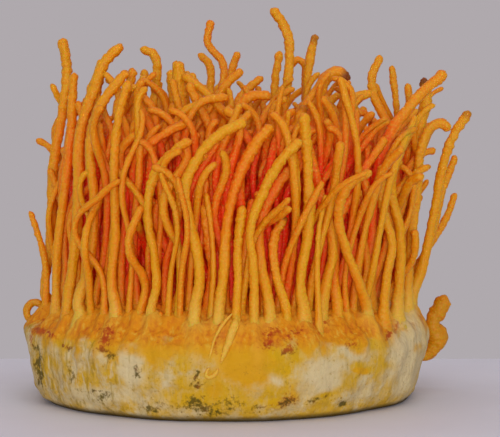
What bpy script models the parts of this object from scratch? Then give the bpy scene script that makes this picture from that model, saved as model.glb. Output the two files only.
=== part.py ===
"""A bunch of cultivated cordyceps on its round cake of substrate.

The cake stands flat on z = 0 with its centre at the origin. +X is the bunch's right and -Y its front.
Lengths in the lists below are millimetres, and MM turns them into metres.
"""

import math
import random

import bmesh
import bpy
import numpy as np
from mathutils.kdtree import KDTree

MM = 0.001

# The cake: a tub-shaped block, flat below and rounded at its lower edge and its rim. The mat of fused stalk
# bases on top rises inside the rim. The first points of the outline are that upper face.
CAKE_FOOT_RADIUS = 53.5
CAKE_RADIUS = 59.6
CAKE_HEIGHT = 28.0
CAKE_SEGMENTS = 40
CAKE_TOP_POINTS = 5
CAKE_OUTLINE = (
    (0.0, CAKE_HEIGHT),
    (30.0, 27.7),
    (46.0, 26.6),
    (56.0, 22.9),
    (58.8, 20.6),
    (CAKE_RADIUS, 17.0),
    (59.0, 11.0),
    (57.4, 5.0),
    (55.6, 1.6),
    (CAKE_FOOT_RADIUS, 0.0),
    (0.0, 0.0),
)
# Each lump is its size, how many go round, where they start and how far they lean with height. They shape
# what lies further out than this radius.
LUMPS_FROM_RADIUS = 48.0
CAKE_LUMPS = ((0.45, 3, 0.7, 0.02), (0.35, 5, 2.1, -0.05), (0.30, 8, 4.0, 0.08), (0.20, 13, 1.2, -0.10))

# What every stalk shares.
FOOT_GAP = 0.35
FOOT_RISE = 4.0
FOOT_FLARE = 1.2
TIP_LENGTH = 1.3
TIP_SHARE = 0.5
SIDE_GAP = 0.4
STAND_RADIUS = 55.0

# The stalks that stand out, in the order of their feet from left to right. Each has its diameter, its
# foot (x, y), its tip's y, and the (x, z) of its bends and then of its tip, seen from the front.
FRONT_STALKS = (
    (3.1, (-48.5, -23), -18, ((-48.2, 45), (-45.4, 68), (-44, 86), (-43.6, 95))),
    (3.6, (-44.6, -31), -28, ((-42.7, 42), (-41.3, 60), (-41, 77), (-37.3, 89), (-33.5, 98), (-29, 102.5))),
    (3.1, (-40.5, -36), -38, ((-41, 30), (-37.6, 42), (-36.3, 58), (-37.3, 75), (-35, 84), (-27, 95))),
    (3.1, (-30, -43), -46, ((-31, 36), (-30, 50), (-30, 72), (-28.5, 84), (-26, 92))),
    (3.0, (-28.5, -36), -42, ((-25.5, 41), (-24, 53), (-24.3, 66), (-21.5, 73), (-16, 78), (-9.5, 81))),
    (3.0, (-20, -48), -50, ((-18.5, 36), (-19, 44), (-20.8, 57), (-18, 68), (-13.5, 73), (-9, 76))),
    (3.4, (-8, -53), -55, ((-6.6, 40), (-9.2, 54), (-10.4, 63), (-7, 71), (-1, 77.5), (6, 81))),
    (2.9, (-4.5, -47), -50, ((-3.4, 41), (-4.5, 48), (-5.6, 58.5))),
    (3.0, (-4, -38), -46, ((-3.5, 52), (-3.3, 69.5))),
    (3.6, (-1.5, -52), -50, ((0, 40), (1, 52), (3.6, 64), (8, 74), (13, 80))),
    (2.9, (3.2, -54), -52, ((3.6, 38), (3.4, 48), (4.5, 58))),
    (3.0, (5, -41), -47, ((4.5, 50), (4.1, 67.5))),
    (3.0, (8, -53), -56, ((7.8, 42), (7, 52), (11, 63), (15, 70), (20.5, 76))),
    (3.2, (12.2, -51), -47, ((10.3, 42), (9.7, 52), (13.5, 62), (20.5, 70.5))),
    (3.0, (16.8, -50), -48, ((13.6, 40), (13.5, 49), (16.5, 55))),
    (3.2, (16.5, -38), -40, ((15.9, 46), (17.8, 62), (22, 73))),
    (3.5, (21.5, -48), -50, ((20.5, 36), (22.8, 52), (22.6, 66), (21.5, 83))),
    (3.4, (26.7, -44), -42, ((27.7, 36), (29.8, 46), (27, 58), (24.4, 68), (22, 76))),
    (3.0, (31, -41), -36, ((30.3, 38), (30.8, 48), (33, 57), (37.5, 62))),
    (3.2, (39.5, -37), -52, ((37.5, 35), (33, 46.5), (31, 56), (33.5, 63.5), (39.5, 67.5))),
    (3.0, (44.5, -32), -34, ((45.2, 38), (46.6, 47), (44, 57), (43.5, 69))),
    (3.3, (48.8, -25), -28, ((49.5, 38), (49.5, 50), (47.2, 62), (49.5, 76))),
)
LEFT_STALKS = (
    (3.5, (-53.7, 0), 2, ((-54.3, 30), (-52.3, 50), (-52, 64), (-49, 88), (-48.2, 97), (-49, 106))),
    (2.4, (-53, -9), -9, ((-53, 38), (-54.8, 47), (-57.5, 55))),
    (2.6, (-51, 10), 16, ((-53, 46), (-52.3, 66), (-54, 73), (-58.5, 75.8))),
    (3.2, (-42, -14), -14, ((-39.8, 65), (-37.6, 88), (-36, 99))),
    (3.2, (-31, -23), -22, ((-30, 60), (-30, 80), (-26.2, 96))),
)
MIDDLE_STALKS = (
    (3.0, (-27, 12), 12, ((-28, 66), (-25.6, 86), (-25, 97))),
    (3.1, (-24, 0), 0, ((-23.4, 71), (-21.3, 91), (-21.4, 100.5), (-25.5, 103))),
    (3.3, (-20, -16), -15, ((-17.7, 62), (-15.2, 84), (-16, 96))),
    (4.2, (-15.5, -25), -22, ((-15.4, 57), (-13, 77), (-13, 88), (-13.6, 98))),
    (3.0, (-12, 22), 22, ((-7, 74), (-5.3, 91), (-6, 99.5), (-9, 102))),
    (3.2, (-10, -14), -12, ((-8.3, 68), (-7.6, 86), (-10.3, 95))),
    (3.0, (-10, -34), -30, ((-10.5, 62), (-10.6, 76), (-7.5, 85.5), (0.7, 88))),
    (3.0, (-7, 10), 14, ((-4.7, 68), (-1.8, 90), (-1.4, 99), (-5.8, 105), (-5, 112))),
    (3.2, (-3, -12), -10, ((-4, 66), (-3.6, 84), (-0.7, 91), (4.6, 96))),
    (2.8, (-1, 28), 28, ((-1, 72), (-0.6, 91), (3.1, 103))),
    (3.2, (0, -28), -26, ((1.3, 60), (1.8, 78), (6, 87.5), (13, 88.5))),
    (3.0, (2, 5), 9, ((1.8, 70), (3.2, 87), (10.5, 95))),
    (2.9, (9, 18), 18, ((13.6, 74), (14.8, 95), (16.1, 102.7))),
    (3.4, (12, 0), 4, ((15.4, 56), (17, 84), (18.6, 103), (17.5, 108.5), (13.5, 115))),
    (3.2, (14, -29), -32, ((16.7, 58), (18, 76), (22.4, 85.5))),
    (2.8, (17, 25), 25, ((22, 74), (24, 92), (22.2, 100.5), (19, 98.5))),
    (3.1, (19, 11), 12, ((23.6, 72), (24, 90), (25.4, 102), (26.7, 107.5))),
    (4.0, (24, -24), -20, ((27, 54), (24.7, 73), (26.3, 87), (31, 95), (35, 93))),
    (2.8, (29, 14), 15, ((34, 70), (34.8, 86), (37, 94))),
    (3.6, (33, -18), -15, ((34.3, 60), (33.3, 78), (36, 87), (42, 89.5))),
)
RIGHT_STALKS = (
    (3.6, (40.5, -28), -22, ((41, 44), (42.4, 62), (45.4, 75), (53, 86), (62.5, 95))),
    (3.1, (42, 2), 5, ((48.6, 62), (49.3, 76), (43.3, 93), (46, 101))),
    (2.7, (43, 22), 22, ((52, 66), (52.4, 82), (50.5, 98.7))),
    (3.9, (48, -5), -2, ((54.5, 55), (57, 78), (59, 89), (58, 94))),
    (3.2, (52.5, -16), -14, ((53.3, 44), (55.2, 62), (57, 75), (61, 80.5), (65, 79))),
    (2.4, (52, 14), 14, ((61, 42), (66.3, 51), (69.5, 59.5))),
    (2.6, (53.5, 5), 6, ((61, 45), (65, 61), (68.7, 71))),
    (3.5, (54.5, -5), -4, ((57.7, 38), (61, 53), (64, 69), (67, 77), (71.5, 84))),
)

# Two stalks that curl instead of standing: their (x, y, z) bends, each with its radius there.
RIM_CURL = (
    (-55.2, -4.6, 24.9, 1.2),
    (-57.3, -4.6, 23.7, 1.2),
    (-59.1, -4.8, 23.7, 1.2),
    (-60.0, -5.0, 25.3, 1.2),
    (-59.2, -5.2, 27.1, 1.2),
    (-57.2, -5.2, 27.7, 1.1),
    (-55.9, -5.2, 27.2, 0.6),
)
SIDE_CURL = (
    (58.2, 12.3, 7.0, 1.5),
    (60.9, 12.8, 7.6, 1.8),
    (63.2, 12.6, 10.6, 2.0),
    (64.3, 12.2, 15.0, 2.5),
    (63.0, 12.0, 19.2, 2.1),
    (64.3, 12.2, 23.4, 2.4),
    (65.8, 12.4, 26.6, 2.1),
    (66.4, 12.4, 28.4, 1.1),
)

# The crowd inside and behind: feet on a spiral, wherever no other foot is near.
CROWD_FEET = 150
CROWD_SPACING = 5.6
CROWD_SEED = 11
CROWD_DIAMETERS = (2.5, 3.3)
CROWD_ROOT = 2.4
CROWD_TIP_HEIGHT = 82.0
CROWD_TIP_SPREAD = 8.0
CROWD_TIP_LIMITS = (52.0, 94.0)
CROWD_EDGE_DROP = 9.0
# How far a tip at the rim leans outwards, sideways and in depth, and how far every tip leans to the right.
CROWD_LEAN = (5.5, 8.0)
CROWD_DRIFT = 4.5
# Each bend's height as a share of the stalk's, and how far it strays.
CROWD_BENDS = ((0.38, 3.0), (0.70, 3.2), (1.0, 4.4))
# The lean grows with the height's share to this power, so that stalks part towards their tips.
CROWD_LEAN_GROWTH = 1.4
CROWD_SCATTER = 1.0
GOLDEN_ANGLE = math.pi * (3 - math.sqrt(5))

# Neighbours are eased apart where their routes would meet: in how many rounds at most, how far apart the
# spots are that are looked at, which share of a gap's lack each round makes up, in width and in depth, how
# far a round moves a spot at most, and how small a lack is left as it is.
EASING_ROUNDS = 160
EASING_STEP = 2.0
EASING_SHARE = (0.15, 0.3)
EASING_LARGEST_MOVE = 0.6
EASING_ENOUGH = 0.02
STEM_ALLOWANCE = 1.05

COLOURS = {
    "cake": ((0.72, 0.60, 0.36), 0.85),
    "crowd": ((0.62, 0.14, 0.02), 0.60),
    "front": ((0.80, 0.36, 0.03), 0.55),
    "left": ((0.76, 0.33, 0.03), 0.55),
    "middle": ((0.74, 0.26, 0.02), 0.55),
    "right": ((0.76, 0.30, 0.03), 0.55),
    "curl": ((0.70, 0.30, 0.03), 0.60),
}


def clear_scene():
    for thing in list(bpy.data.objects):
        bpy.data.objects.remove(thing, do_unlink=True)


def new_collection(name):
    collection = bpy.data.collections.new(name)
    bpy.context.scene.collection.children.link(collection)
    return collection


def finish(name):
    """The material of one kind of piece."""
    colour, roughness = COLOURS[name]
    material = bpy.data.materials.new(name)
    material.use_nodes = True
    shader = material.node_tree.nodes["Principled BSDF"]
    shader.inputs["Base Color"].default_value = (*colour, 1.0)
    shader.inputs["Roughness"].default_value = roughness
    return material


def cake_lump(angle, height):
    """How far the cake's wall stands proud of its turned outline here."""
    lump = 0.0
    for size, count, start, lean in CAKE_LUMPS:
        lump += size * math.sin(count * angle + start + lean * height)
    return lump


def cake_top(foot, radius):
    """Height of the cake's upper face under the inner edge of a foot of this radius, where it is highest."""
    angle = math.atan2(foot[1], foot[0])
    reach, level = [], []
    for top_radius, height in CAKE_OUTLINE[:CAKE_TOP_POINTS]:
        lump = cake_lump(angle, height) if top_radius > LUMPS_FROM_RADIUS else 0.0
        reach.append(top_radius + lump)
        level.append(height)
    inner_edge = max(0.0, math.hypot(foot[0], foot[1]) - radius * FOOT_FLARE)
    return float(np.interp(inner_edge, reach, level))


def standing_route(diameter, foot, tip_y, bends):
    """The points of a stalk whose bends are seen from the front. Its depth changes evenly with height."""
    foot_x, foot_y = foot
    foot_z = cake_top(foot, diameter / 2) + FOOT_GAP
    rise = bends[-1][1] - foot_z
    points = [(foot_x, foot_y, foot_z), (foot_x, foot_y, foot_z + FOOT_RISE)]
    for x, z in bends:
        points.append((x, foot_y + (tip_y - foot_y) * (z - foot_z) / rise, z))
    return np.array(points), diameter / 2


def crowd_routes(taken):
    """The inner and rear stalks, which lean outwards more the nearer they stand to the rim."""
    draw = random.Random(CROWD_SEED)
    routes = []
    for number in range(CROWD_FEET):
        radius = STAND_RADIUS * math.sqrt((number + 0.5) / CROWD_FEET)
        angle = number * GOLDEN_ANGLE
        foot = np.array((radius * math.cos(angle), radius * math.sin(angle)))
        foot += (draw.uniform(-CROWD_SCATTER, CROWD_SCATTER), draw.uniform(-CROWD_SCATTER, CROWD_SCATTER))
        tip_z = CROWD_TIP_HEIGHT - CROWD_EDGE_DROP * (radius / STAND_RADIUS) ** 2
        tip_z += draw.gauss(0, CROWD_TIP_SPREAD)
        tip_z = min(max(tip_z, CROWD_TIP_LIMITS[0]), CROWD_TIP_LIMITS[1])
        lean = foot / STAND_RADIUS * CROWD_LEAN + (CROWD_DRIFT, 0.0)
        strays = [np.array((draw.gauss(0, stray), draw.gauss(0, stray))) for _, stray in CROWD_BENDS]
        stalk_radius = draw.uniform(*CROWD_DIAMETERS) / 2
        if any(math.dist(foot, other) < CROWD_SPACING for other in taken):
            continue
        taken.append(tuple(foot))
        foot_z = cake_top(foot, stalk_radius) - CROWD_ROOT
        points = [(*foot, foot_z), (*foot, foot_z + FOOT_RISE)]
        for (share, _), stray in zip(CROWD_BENDS, strays):
            spot = foot + lean * share**CROWD_LEAN_GROWTH + stray * share
            points.append((*spot, foot_z + (tip_z - foot_z) * share))
        routes.append((np.array(points), stalk_radius))
    return routes


def easing_samples(routes):
    """Spots along every stalk's straight runs: (stalk, run, share of the run) and their places."""
    keys, spots = [], []
    for stalk, (points, _) in enumerate(routes):
        for run in range(len(points) - 1):
            length = float(np.linalg.norm(points[run + 1] - points[run]))
            count = max(2, math.ceil(length / EASING_STEP))
            for step in range(count):
                share = (step + 0.5) / count
                keys.append((stalk, run, share))
                spots.append(points[run] * (1 - share) + points[run + 1] * share)
    return keys, spots


def ease_apart(routes):
    """Moves stalks that would run through each other sideways, a little at a time, until they clear."""
    widest = max(radius for _, radius in routes)
    for _ in range(EASING_ROUNDS):
        keys, spots = easing_samples(routes)
        tree = KDTree(len(spots))
        for number, spot in enumerate(spots):
            tree.insert(spot, number)
        tree.balance()
        moves = [np.zeros((len(points), 2)) for points, _ in routes]
        worst = 0.0
        for number, spot in enumerate(spots):
            stalk, run, share = keys[number]
            reach = routes[stalk][1] * FOOT_FLARE + widest * FOOT_FLARE + SIDE_GAP
            for other_spot, other_number, distance in tree.find_range(spot, reach):
                other, other_run, other_share = keys[other_number]
                if other <= stalk:
                    continue
                flare = FOOT_FLARE if run == 0 or other_run == 0 else STEM_ALLOWANCE
                short = (routes[stalk][1] + routes[other][1]) * flare + SIDE_GAP - distance
                if short <= 0:
                    continue
                worst = max(worst, short)
                away = np.array((spot[0] - other_spot[0], spot[1] - other_spot[1]))
                away /= max(float(np.hypot(*away)), 1e-6)
                push = away * short * EASING_SHARE
                moves[stalk][run] += push * (1 - share)
                moves[stalk][run + 1] += push * share
                moves[other][other_run] -= push * (1 - other_share)
                moves[other][other_run + 1] -= push * other_share
        if worst < EASING_ENOUGH:
            break
        for (points, _), move in zip(routes, moves):
            size = np.linalg.norm(move, axis=1, keepdims=True)
            move *= np.minimum(1.0, EASING_LARGEST_MOVE / np.maximum(size, 1e-9))
            foot_move = (move[0] + move[1]) / 2
            points[0, :2] += foot_move
            points[1, :2] += foot_move
            points[2:, :2] += move[2:]


def set_down(routes, gap):
    """Brings every foot to this height above the cake again, where easing has moved it."""
    for points, radius in routes:
        foot_z = cake_top(points[0, :2], radius) + gap
        points[0, 2] = foot_z
        points[1, 2] = foot_z + FOOT_RISE


def tube(name, splines, sides):
    """A curve object of straight-run tubes with closed ends. Each spline is a list of (x, y, z, radius)."""
    curve = bpy.data.curves.new(name, "CURVE")
    curve.dimensions = "3D"
    curve.bevel_depth = MM
    curve.bevel_resolution = (sides - 4) // 2
    curve.use_fill_caps = True
    for points in splines:
        spline = curve.splines.new("POLY")
        spline.points.add(len(points) - 1)
        for place, (x, y, z, radius) in zip(spline.points, points):
            place.co = (x * MM, y * MM, z * MM, 1.0)
            place.radius = radius
        spline.use_smooth = True
    return bpy.data.objects.new(name, curve)


def as_mesh(thing, collection):
    """The same shape as a welded mesh object, and the first object removed."""
    collection.objects.link(thing)
    bpy.context.view_layer.update()
    graph = bpy.context.evaluated_depsgraph_get()
    mesh = bpy.data.meshes.new_from_object(thing.evaluated_get(graph))
    work = bmesh.new()
    work.from_mesh(mesh)
    bmesh.ops.remove_doubles(work, verts=work.verts, dist=1e-6)
    bmesh.ops.recalc_face_normals(work, faces=work.faces)
    work.to_mesh(mesh)
    work.free()
    name = thing.name
    place = thing.matrix_world.copy()
    bpy.data.objects.remove(thing, do_unlink=True)
    made = bpy.data.objects.new(name, mesh)
    made.matrix_world = place
    collection.objects.link(made)
    return made


def stalk_splines(points, radius):
    """A stalk's tube: a flared foot, an even stem, and a tip that narrows over its last stretch."""
    last = points[-1] - points[-2]
    shoulder = points[-1] - last / np.linalg.norm(last) * TIP_LENGTH
    shape = [(*points[0], radius * FOOT_FLARE)]
    shape += [(*point, radius) for point in points[1:-1]]
    shape += [(*shoulder, radius), (*points[-1], radius * TIP_SHARE)]
    return shape


def make_cake(collection):
    """The turned block, with its wall pushed in and out by the lumps. Its underside stays flat."""
    mesh = bpy.data.meshes.new("substrate_cake")
    work = bmesh.new()
    corners = [work.verts.new((radius * MM, 0.0, height * MM)) for radius, height in CAKE_OUTLINE]
    for upper, lower in zip(corners, corners[1:]):
        work.edges.new((upper, lower))
    work.to_mesh(mesh)
    work.free()
    cake = bpy.data.objects.new("substrate_cake", mesh)
    turn = cake.modifiers.new("turned outline", "SCREW")
    turn.steps = CAKE_SEGMENTS
    turn.render_steps = CAKE_SEGMENTS
    turn.use_merge_vertices = True
    turn.merge_threshold = 0.0001
    cake = as_mesh(cake, collection)
    for corner in cake.data.vertices:
        x, y, z = corner.co
        radius = math.hypot(x, y)
        if radius < LUMPS_FROM_RADIUS * MM:
            continue
        angle = math.atan2(y, x)
        stretch = 1 + cake_lump(angle, z / MM) * MM / radius
        corner.co = (x * stretch, y * stretch, z)
    return cake


def fuse_crowd(cake, crowd, cutters):
    """Joins the inner and rear stalks to the cake that they grow from."""
    tubes = tube("crowd_stalks", [stalk_splines(points, radius) for points, radius in crowd], 4)
    grown = as_mesh(tubes, cutters)
    grown.data.materials.append(finish("crowd"))
    grown.hide_render = True
    grown.display_type = "WIRE"
    union = cake.modifiers.new("crowd", "BOOLEAN")
    union.operation = "UNION"
    union.solver = "EXACT"
    union.material_mode = "TRANSFER"
    union.object = grown


def build():
    clear_scene()
    parts = new_collection("cordyceps_bunch")
    cutters = new_collection("cutters")

    groups = {"front": FRONT_STALKS, "left": LEFT_STALKS, "middle": MIDDLE_STALKS, "right": RIGHT_STALKS}
    named = [(group, number) for group, stalks in groups.items() for number in range(1, len(stalks) + 1)]
    routes = [standing_route(*stalk) for stalks in groups.values() for stalk in stalks]
    taken = [tuple(points[0, :2]) for points, _ in routes]
    crowd = crowd_routes(taken)
    ease_apart(routes + crowd)
    set_down(routes, FOOT_GAP)
    set_down(crowd, -CROWD_ROOT)

    cake = make_cake(parts)
    cake.data.materials.append(finish("cake"))
    fuse_crowd(cake, crowd, cutters)

    materials = {group: finish(group) for group in groups}
    for (group, number), (points, radius) in zip(named, routes):
        stalk = tube(f"{group}_stalk_{number:02d}", [stalk_splines(points, radius)], 6)
        stalk.data.materials.append(materials[group])
        parts.objects.link(stalk)

    curl = finish("curl")
    for name, route in (("rim_curl", RIM_CURL), ("side_curl", SIDE_CURL)):
        stalk = tube(name, [route], 8)
        stalk.data.materials.append(curl)
        parts.objects.link(stalk)


build()
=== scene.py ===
"""The looks of a bunch of cultivated cordyceps: slender stalks on their round cake of substrate.

Lengths in the lists below are millimetres, unless their comment says metres, and MM turns them into metres.
+X is the bunch's right, -Y its front, and the cake stands on z = 0.
"""

import math
import random

import bpy
import numpy as np
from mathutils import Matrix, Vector, noise
from mathutils.bvhtree import BVHTree
from mathutils.kdtree import KDTree


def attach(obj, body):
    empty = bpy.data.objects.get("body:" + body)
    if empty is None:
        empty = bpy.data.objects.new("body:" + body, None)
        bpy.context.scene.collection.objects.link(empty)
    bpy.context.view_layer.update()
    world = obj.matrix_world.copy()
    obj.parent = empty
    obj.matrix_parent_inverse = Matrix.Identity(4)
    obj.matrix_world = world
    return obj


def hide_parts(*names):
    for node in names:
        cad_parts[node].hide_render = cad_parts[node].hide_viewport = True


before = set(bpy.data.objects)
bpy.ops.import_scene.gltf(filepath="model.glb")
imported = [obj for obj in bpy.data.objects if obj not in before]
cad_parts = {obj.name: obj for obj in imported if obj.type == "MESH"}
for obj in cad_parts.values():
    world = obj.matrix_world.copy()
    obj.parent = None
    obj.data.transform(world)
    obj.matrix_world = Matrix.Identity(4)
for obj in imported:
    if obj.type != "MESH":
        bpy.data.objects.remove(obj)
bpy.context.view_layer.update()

MM = 0.001

# The cake's turned outline and its lumps, as the solid has them.
CAKE_FOOT_RADIUS = 53.5
CAKE_RADIUS = 59.6
CAKE_HEIGHT = 28.0
CAKE_TOP_POINTS = 5
CAKE_OUTLINE = (
    (0.0, CAKE_HEIGHT),
    (30.0, 27.7),
    (46.0, 26.6),
    (56.0, 22.9),
    (58.8, 20.6),
    (CAKE_RADIUS, 17.0),
    (59.0, 11.0),
    (57.4, 5.0),
    (55.6, 1.6),
    (CAKE_FOOT_RADIUS, 0.0),
    (0.0, 0.0),
)
# Each lump is its size, how many go round, where they start and how far they lean with height. They shape
# what lies further out than this radius.
LUMPS_FROM_RADIUS = 48.0
CAKE_LUMPS = ((0.45, 3, 0.7, 0.02), (0.35, 5, 2.1, -0.05), (0.30, 8, 4.0, 0.08), (0.20, 13, 1.2, -0.10))

# What every stalk of the solid shares.
FOOT_GAP = 0.35
FOOT_RISE = 4.0
FOOT_FLARE = 1.2
SIDE_GAP = 0.4
STAND_RADIUS = 55.0

# The stalks that stand out, in the order of their feet from left to right. Each has its diameter, its
# foot (x, y), its tip's y, and the (x, z) of its bends and then of its tip, seen from the front.
FRONT_STALKS = (
    (3.1, (-48.5, -23), -18, ((-48.2, 45), (-45.4, 68), (-44, 86), (-43.6, 95))),
    (3.6, (-44.6, -31), -28, ((-42.7, 42), (-41.3, 60), (-41, 77), (-37.3, 89), (-33.5, 98), (-29, 102.5))),
    (3.1, (-40.5, -36), -38, ((-41, 30), (-37.6, 42), (-36.3, 58), (-37.3, 75), (-35, 84), (-27, 95))),
    (3.1, (-30, -43), -46, ((-31, 36), (-30, 50), (-30, 72), (-28.5, 84), (-26, 92))),
    (3.0, (-28.5, -36), -42, ((-25.5, 41), (-24, 53), (-24.3, 66), (-21.5, 73), (-16, 78), (-9.5, 81))),
    (3.0, (-20, -48), -50, ((-18.5, 36), (-19, 44), (-20.8, 57), (-18, 68), (-13.5, 73), (-9, 76))),
    (3.4, (-8, -53), -55, ((-6.6, 40), (-9.2, 54), (-10.4, 63), (-7, 71), (-1, 77.5), (6, 81))),
    (2.9, (-4.5, -47), -50, ((-3.4, 41), (-4.5, 48), (-5.6, 58.5))),
    (3.0, (-4, -38), -46, ((-3.5, 52), (-3.3, 69.5))),
    (3.6, (-1.5, -52), -50, ((0, 40), (1, 52), (3.6, 64), (8, 74), (13, 80))),
    (2.9, (3.2, -54), -52, ((3.6, 38), (3.4, 48), (4.5, 58))),
    (3.0, (5, -41), -47, ((4.5, 50), (4.1, 67.5))),
    (3.0, (8, -53), -56, ((7.8, 42), (7, 52), (11, 63), (15, 70), (20.5, 76))),
    (3.2, (12.2, -51), -47, ((10.3, 42), (9.7, 52), (13.5, 62), (20.5, 70.5))),
    (3.0, (16.8, -50), -48, ((13.6, 40), (13.5, 49), (16.5, 55))),
    (3.2, (16.5, -38), -40, ((15.9, 46), (17.8, 62), (22, 73))),
    (3.5, (21.5, -48), -50, ((20.5, 36), (22.8, 52), (22.6, 66), (21.5, 83))),
    (3.4, (26.7, -44), -42, ((27.7, 36), (29.8, 46), (27, 58), (24.4, 68), (22, 76))),
    (3.0, (31, -41), -36, ((30.3, 38), (30.8, 48), (33, 57), (37.5, 62))),
    (3.2, (39.5, -37), -52, ((37.5, 35), (33, 46.5), (31, 56), (33.5, 63.5), (39.5, 67.5))),
    (3.0, (44.5, -32), -34, ((45.2, 38), (46.6, 47), (44, 57), (43.5, 69))),
    (3.3, (48.8, -25), -28, ((49.5, 38), (49.5, 50), (47.2, 62), (49.5, 76))),
)
LEFT_STALKS = (
    (3.5, (-53.7, 0), 2, ((-54.3, 30), (-52.3, 50), (-52, 64), (-49, 88), (-48.2, 97), (-49, 106))),
    (2.4, (-53, -9), -9, ((-53, 38), (-54.8, 47), (-57.5, 55))),
    (2.6, (-51, 10), 16, ((-53, 46), (-52.3, 66), (-54, 73), (-58.5, 75.8))),
    (3.2, (-42, -14), -14, ((-39.8, 65), (-37.6, 88), (-36, 99))),
    (3.2, (-31, -23), -22, ((-30, 60), (-30, 80), (-26.2, 96))),
)
MIDDLE_STALKS = (
    (3.0, (-27, 12), 12, ((-28, 66), (-25.6, 86), (-25, 97))),
    (3.1, (-24, 0), 0, ((-23.4, 71), (-21.3, 91), (-21.4, 100.5), (-25.5, 103))),
    (3.3, (-20, -16), -15, ((-17.7, 62), (-15.2, 84), (-16, 96))),
    (4.2, (-15.5, -25), -22, ((-15.4, 57), (-13, 77), (-13, 88), (-13.6, 98))),
    (3.0, (-12, 22), 22, ((-7, 74), (-5.3, 91), (-6, 99.5), (-9, 102))),
    (3.2, (-10, -14), -12, ((-8.3, 68), (-7.6, 86), (-10.3, 95))),
    (3.0, (-10, -34), -30, ((-10.5, 62), (-10.6, 76), (-7.5, 85.5), (0.7, 88))),
    (3.0, (-7, 10), 14, ((-4.7, 68), (-1.8, 90), (-1.4, 99), (-5.8, 105), (-5, 112))),
    (3.2, (-3, -12), -10, ((-4, 66), (-3.6, 84), (-0.7, 91), (4.6, 96))),
    (2.8, (-1, 28), 28, ((-1, 72), (-0.6, 91), (3.1, 103))),
    (3.2, (0, -28), -26, ((1.3, 60), (1.8, 78), (6, 87.5), (13, 88.5))),
    (3.0, (2, 5), 9, ((1.8, 70), (3.2, 87), (10.5, 95))),
    (2.9, (9, 18), 18, ((13.6, 74), (14.8, 95), (16.1, 102.7))),
    (3.4, (12, 0), 4, ((15.4, 56), (17, 84), (18.6, 103), (17.5, 108.5), (13.5, 115))),
    (3.2, (14, -29), -32, ((16.7, 58), (18, 76), (22.4, 85.5))),
    (2.8, (17, 25), 25, ((22, 74), (24, 92), (22.2, 100.5), (19, 98.5))),
    (3.1, (19, 11), 12, ((23.6, 72), (24, 90), (25.4, 102), (26.7, 107.5))),
    (4.0, (24, -24), -20, ((27, 54), (24.7, 73), (26.3, 87), (31, 95), (35, 93))),
    (2.8, (29, 14), 15, ((34, 70), (34.8, 86), (37, 94))),
    (3.6, (33, -18), -15, ((34.3, 60), (33.3, 78), (36, 87), (42, 89.5))),
)
RIGHT_STALKS = (
    (3.6, (40.5, -28), -22, ((41, 44), (42.4, 62), (45.4, 75), (53, 86), (62.5, 95))),
    (3.1, (42, 2), 5, ((48.6, 62), (49.3, 76), (43.3, 93), (46, 101))),
    (2.7, (43, 22), 22, ((52, 66), (52.4, 82), (50.5, 98.7))),
    (3.9, (48, -5), -2, ((54.5, 55), (57, 78), (59, 89), (58, 94))),
    (3.2, (52.5, -16), -14, ((53.3, 44), (55.2, 62), (57, 75), (61, 80.5), (65, 79))),
    (2.4, (52, 14), 14, ((61, 42), (66.3, 51), (69.5, 59.5))),
    (2.6, (53.5, 5), 6, ((61, 45), (65, 61), (68.7, 71))),
    (3.5, (54.5, -5), -4, ((57.7, 38), (61, 53), (64, 69), (67, 77), (71.5, 84))),
)
STALK_GROUPS = {"front": FRONT_STALKS, "left": LEFT_STALKS, "middle": MIDDLE_STALKS, "right": RIGHT_STALKS}

# Two stalks that curl instead of standing: their (x, y, z) bends, each with its radius there, and how thick
# they are shown against that. The one at the rim closes to a ring against its neighbour.
RIM_CURL = (
    (-54.6, -5.4, 21.4, 0.9),
    (-56.4, -5.4, 22.2, 1.0),
    (-58.2, -5.3, 23.2, 1.1),
    (-59.0, -5.2, 24.9, 1.1),
    (-58.6, -5.1, 26.6, 1.05),
    (-57.2, -5.0, 27.7, 1.0),
    (-55.6, -4.9, 27.5, 0.9),
    (-54.6, -4.8, 26.2, 0.7),
)
SIDE_CURL = (
    (58.4, 12.3, 9.6, 1.1),
    (60.8, 12.8, 10.0, 1.5),
    (62.8, 12.6, 12.2, 1.9),
    (64.1, 12.2, 15.6, 2.5),
    (62.8, 12.0, 19.8, 1.9),
    (64.3, 12.2, 23.4, 2.4),
    (65.8, 12.4, 26.6, 2.1),
    (66.4, 12.4, 28.4, 1.1),
)
CURLS = (("rim_curl", RIM_CURL, 1.0), ("side_curl", SIDE_CURL, 1.08))

# The crowd inside and behind: feet on a spiral, wherever no other foot is near.
CROWD_FEET = 150
CROWD_SPACING = 5.6
CROWD_SEED = 11
CROWD_DIAMETERS = (2.5, 3.3)
CROWD_ROOT = 2.4
CROWD_TIPS = (82.0, 8.0, (52.0, 94.0))
CROWD_EDGE_DROP = 9.0
# How far a tip at the rim leans outwards, sideways and in depth, and how far every tip leans to the right.
CROWD_LEAN = (5.5, 8.0)
CROWD_DRIFT = 4.5
# Each bend's height as a share of the stalk's, and how far it strays.
CROWD_BENDS = ((0.38, 3.0), (0.70, 3.2), (1.0, 4.4))
# The lean grows with the height's share to this power, so that stalks part towards their tips.
CROWD_LEAN_GROWTH = 1.4
CROWD_SCATTER = 1.0
GOLDEN_ANGLE = math.pi * (3 - math.sqrt(5))
# Into how many pieces the crowd is shared out, and the thin stalks in its gaps.
CROWD_PIECES = 3

EASING_ROUNDS = 160
EASING_STEP = 2.0
EASING_SHARE = (0.15, 0.3)
EASING_LARGEST_MOVE = 0.6
EASING_ENOUGH = 0.02
STEM_ALLOWANCE = 1.05

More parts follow.
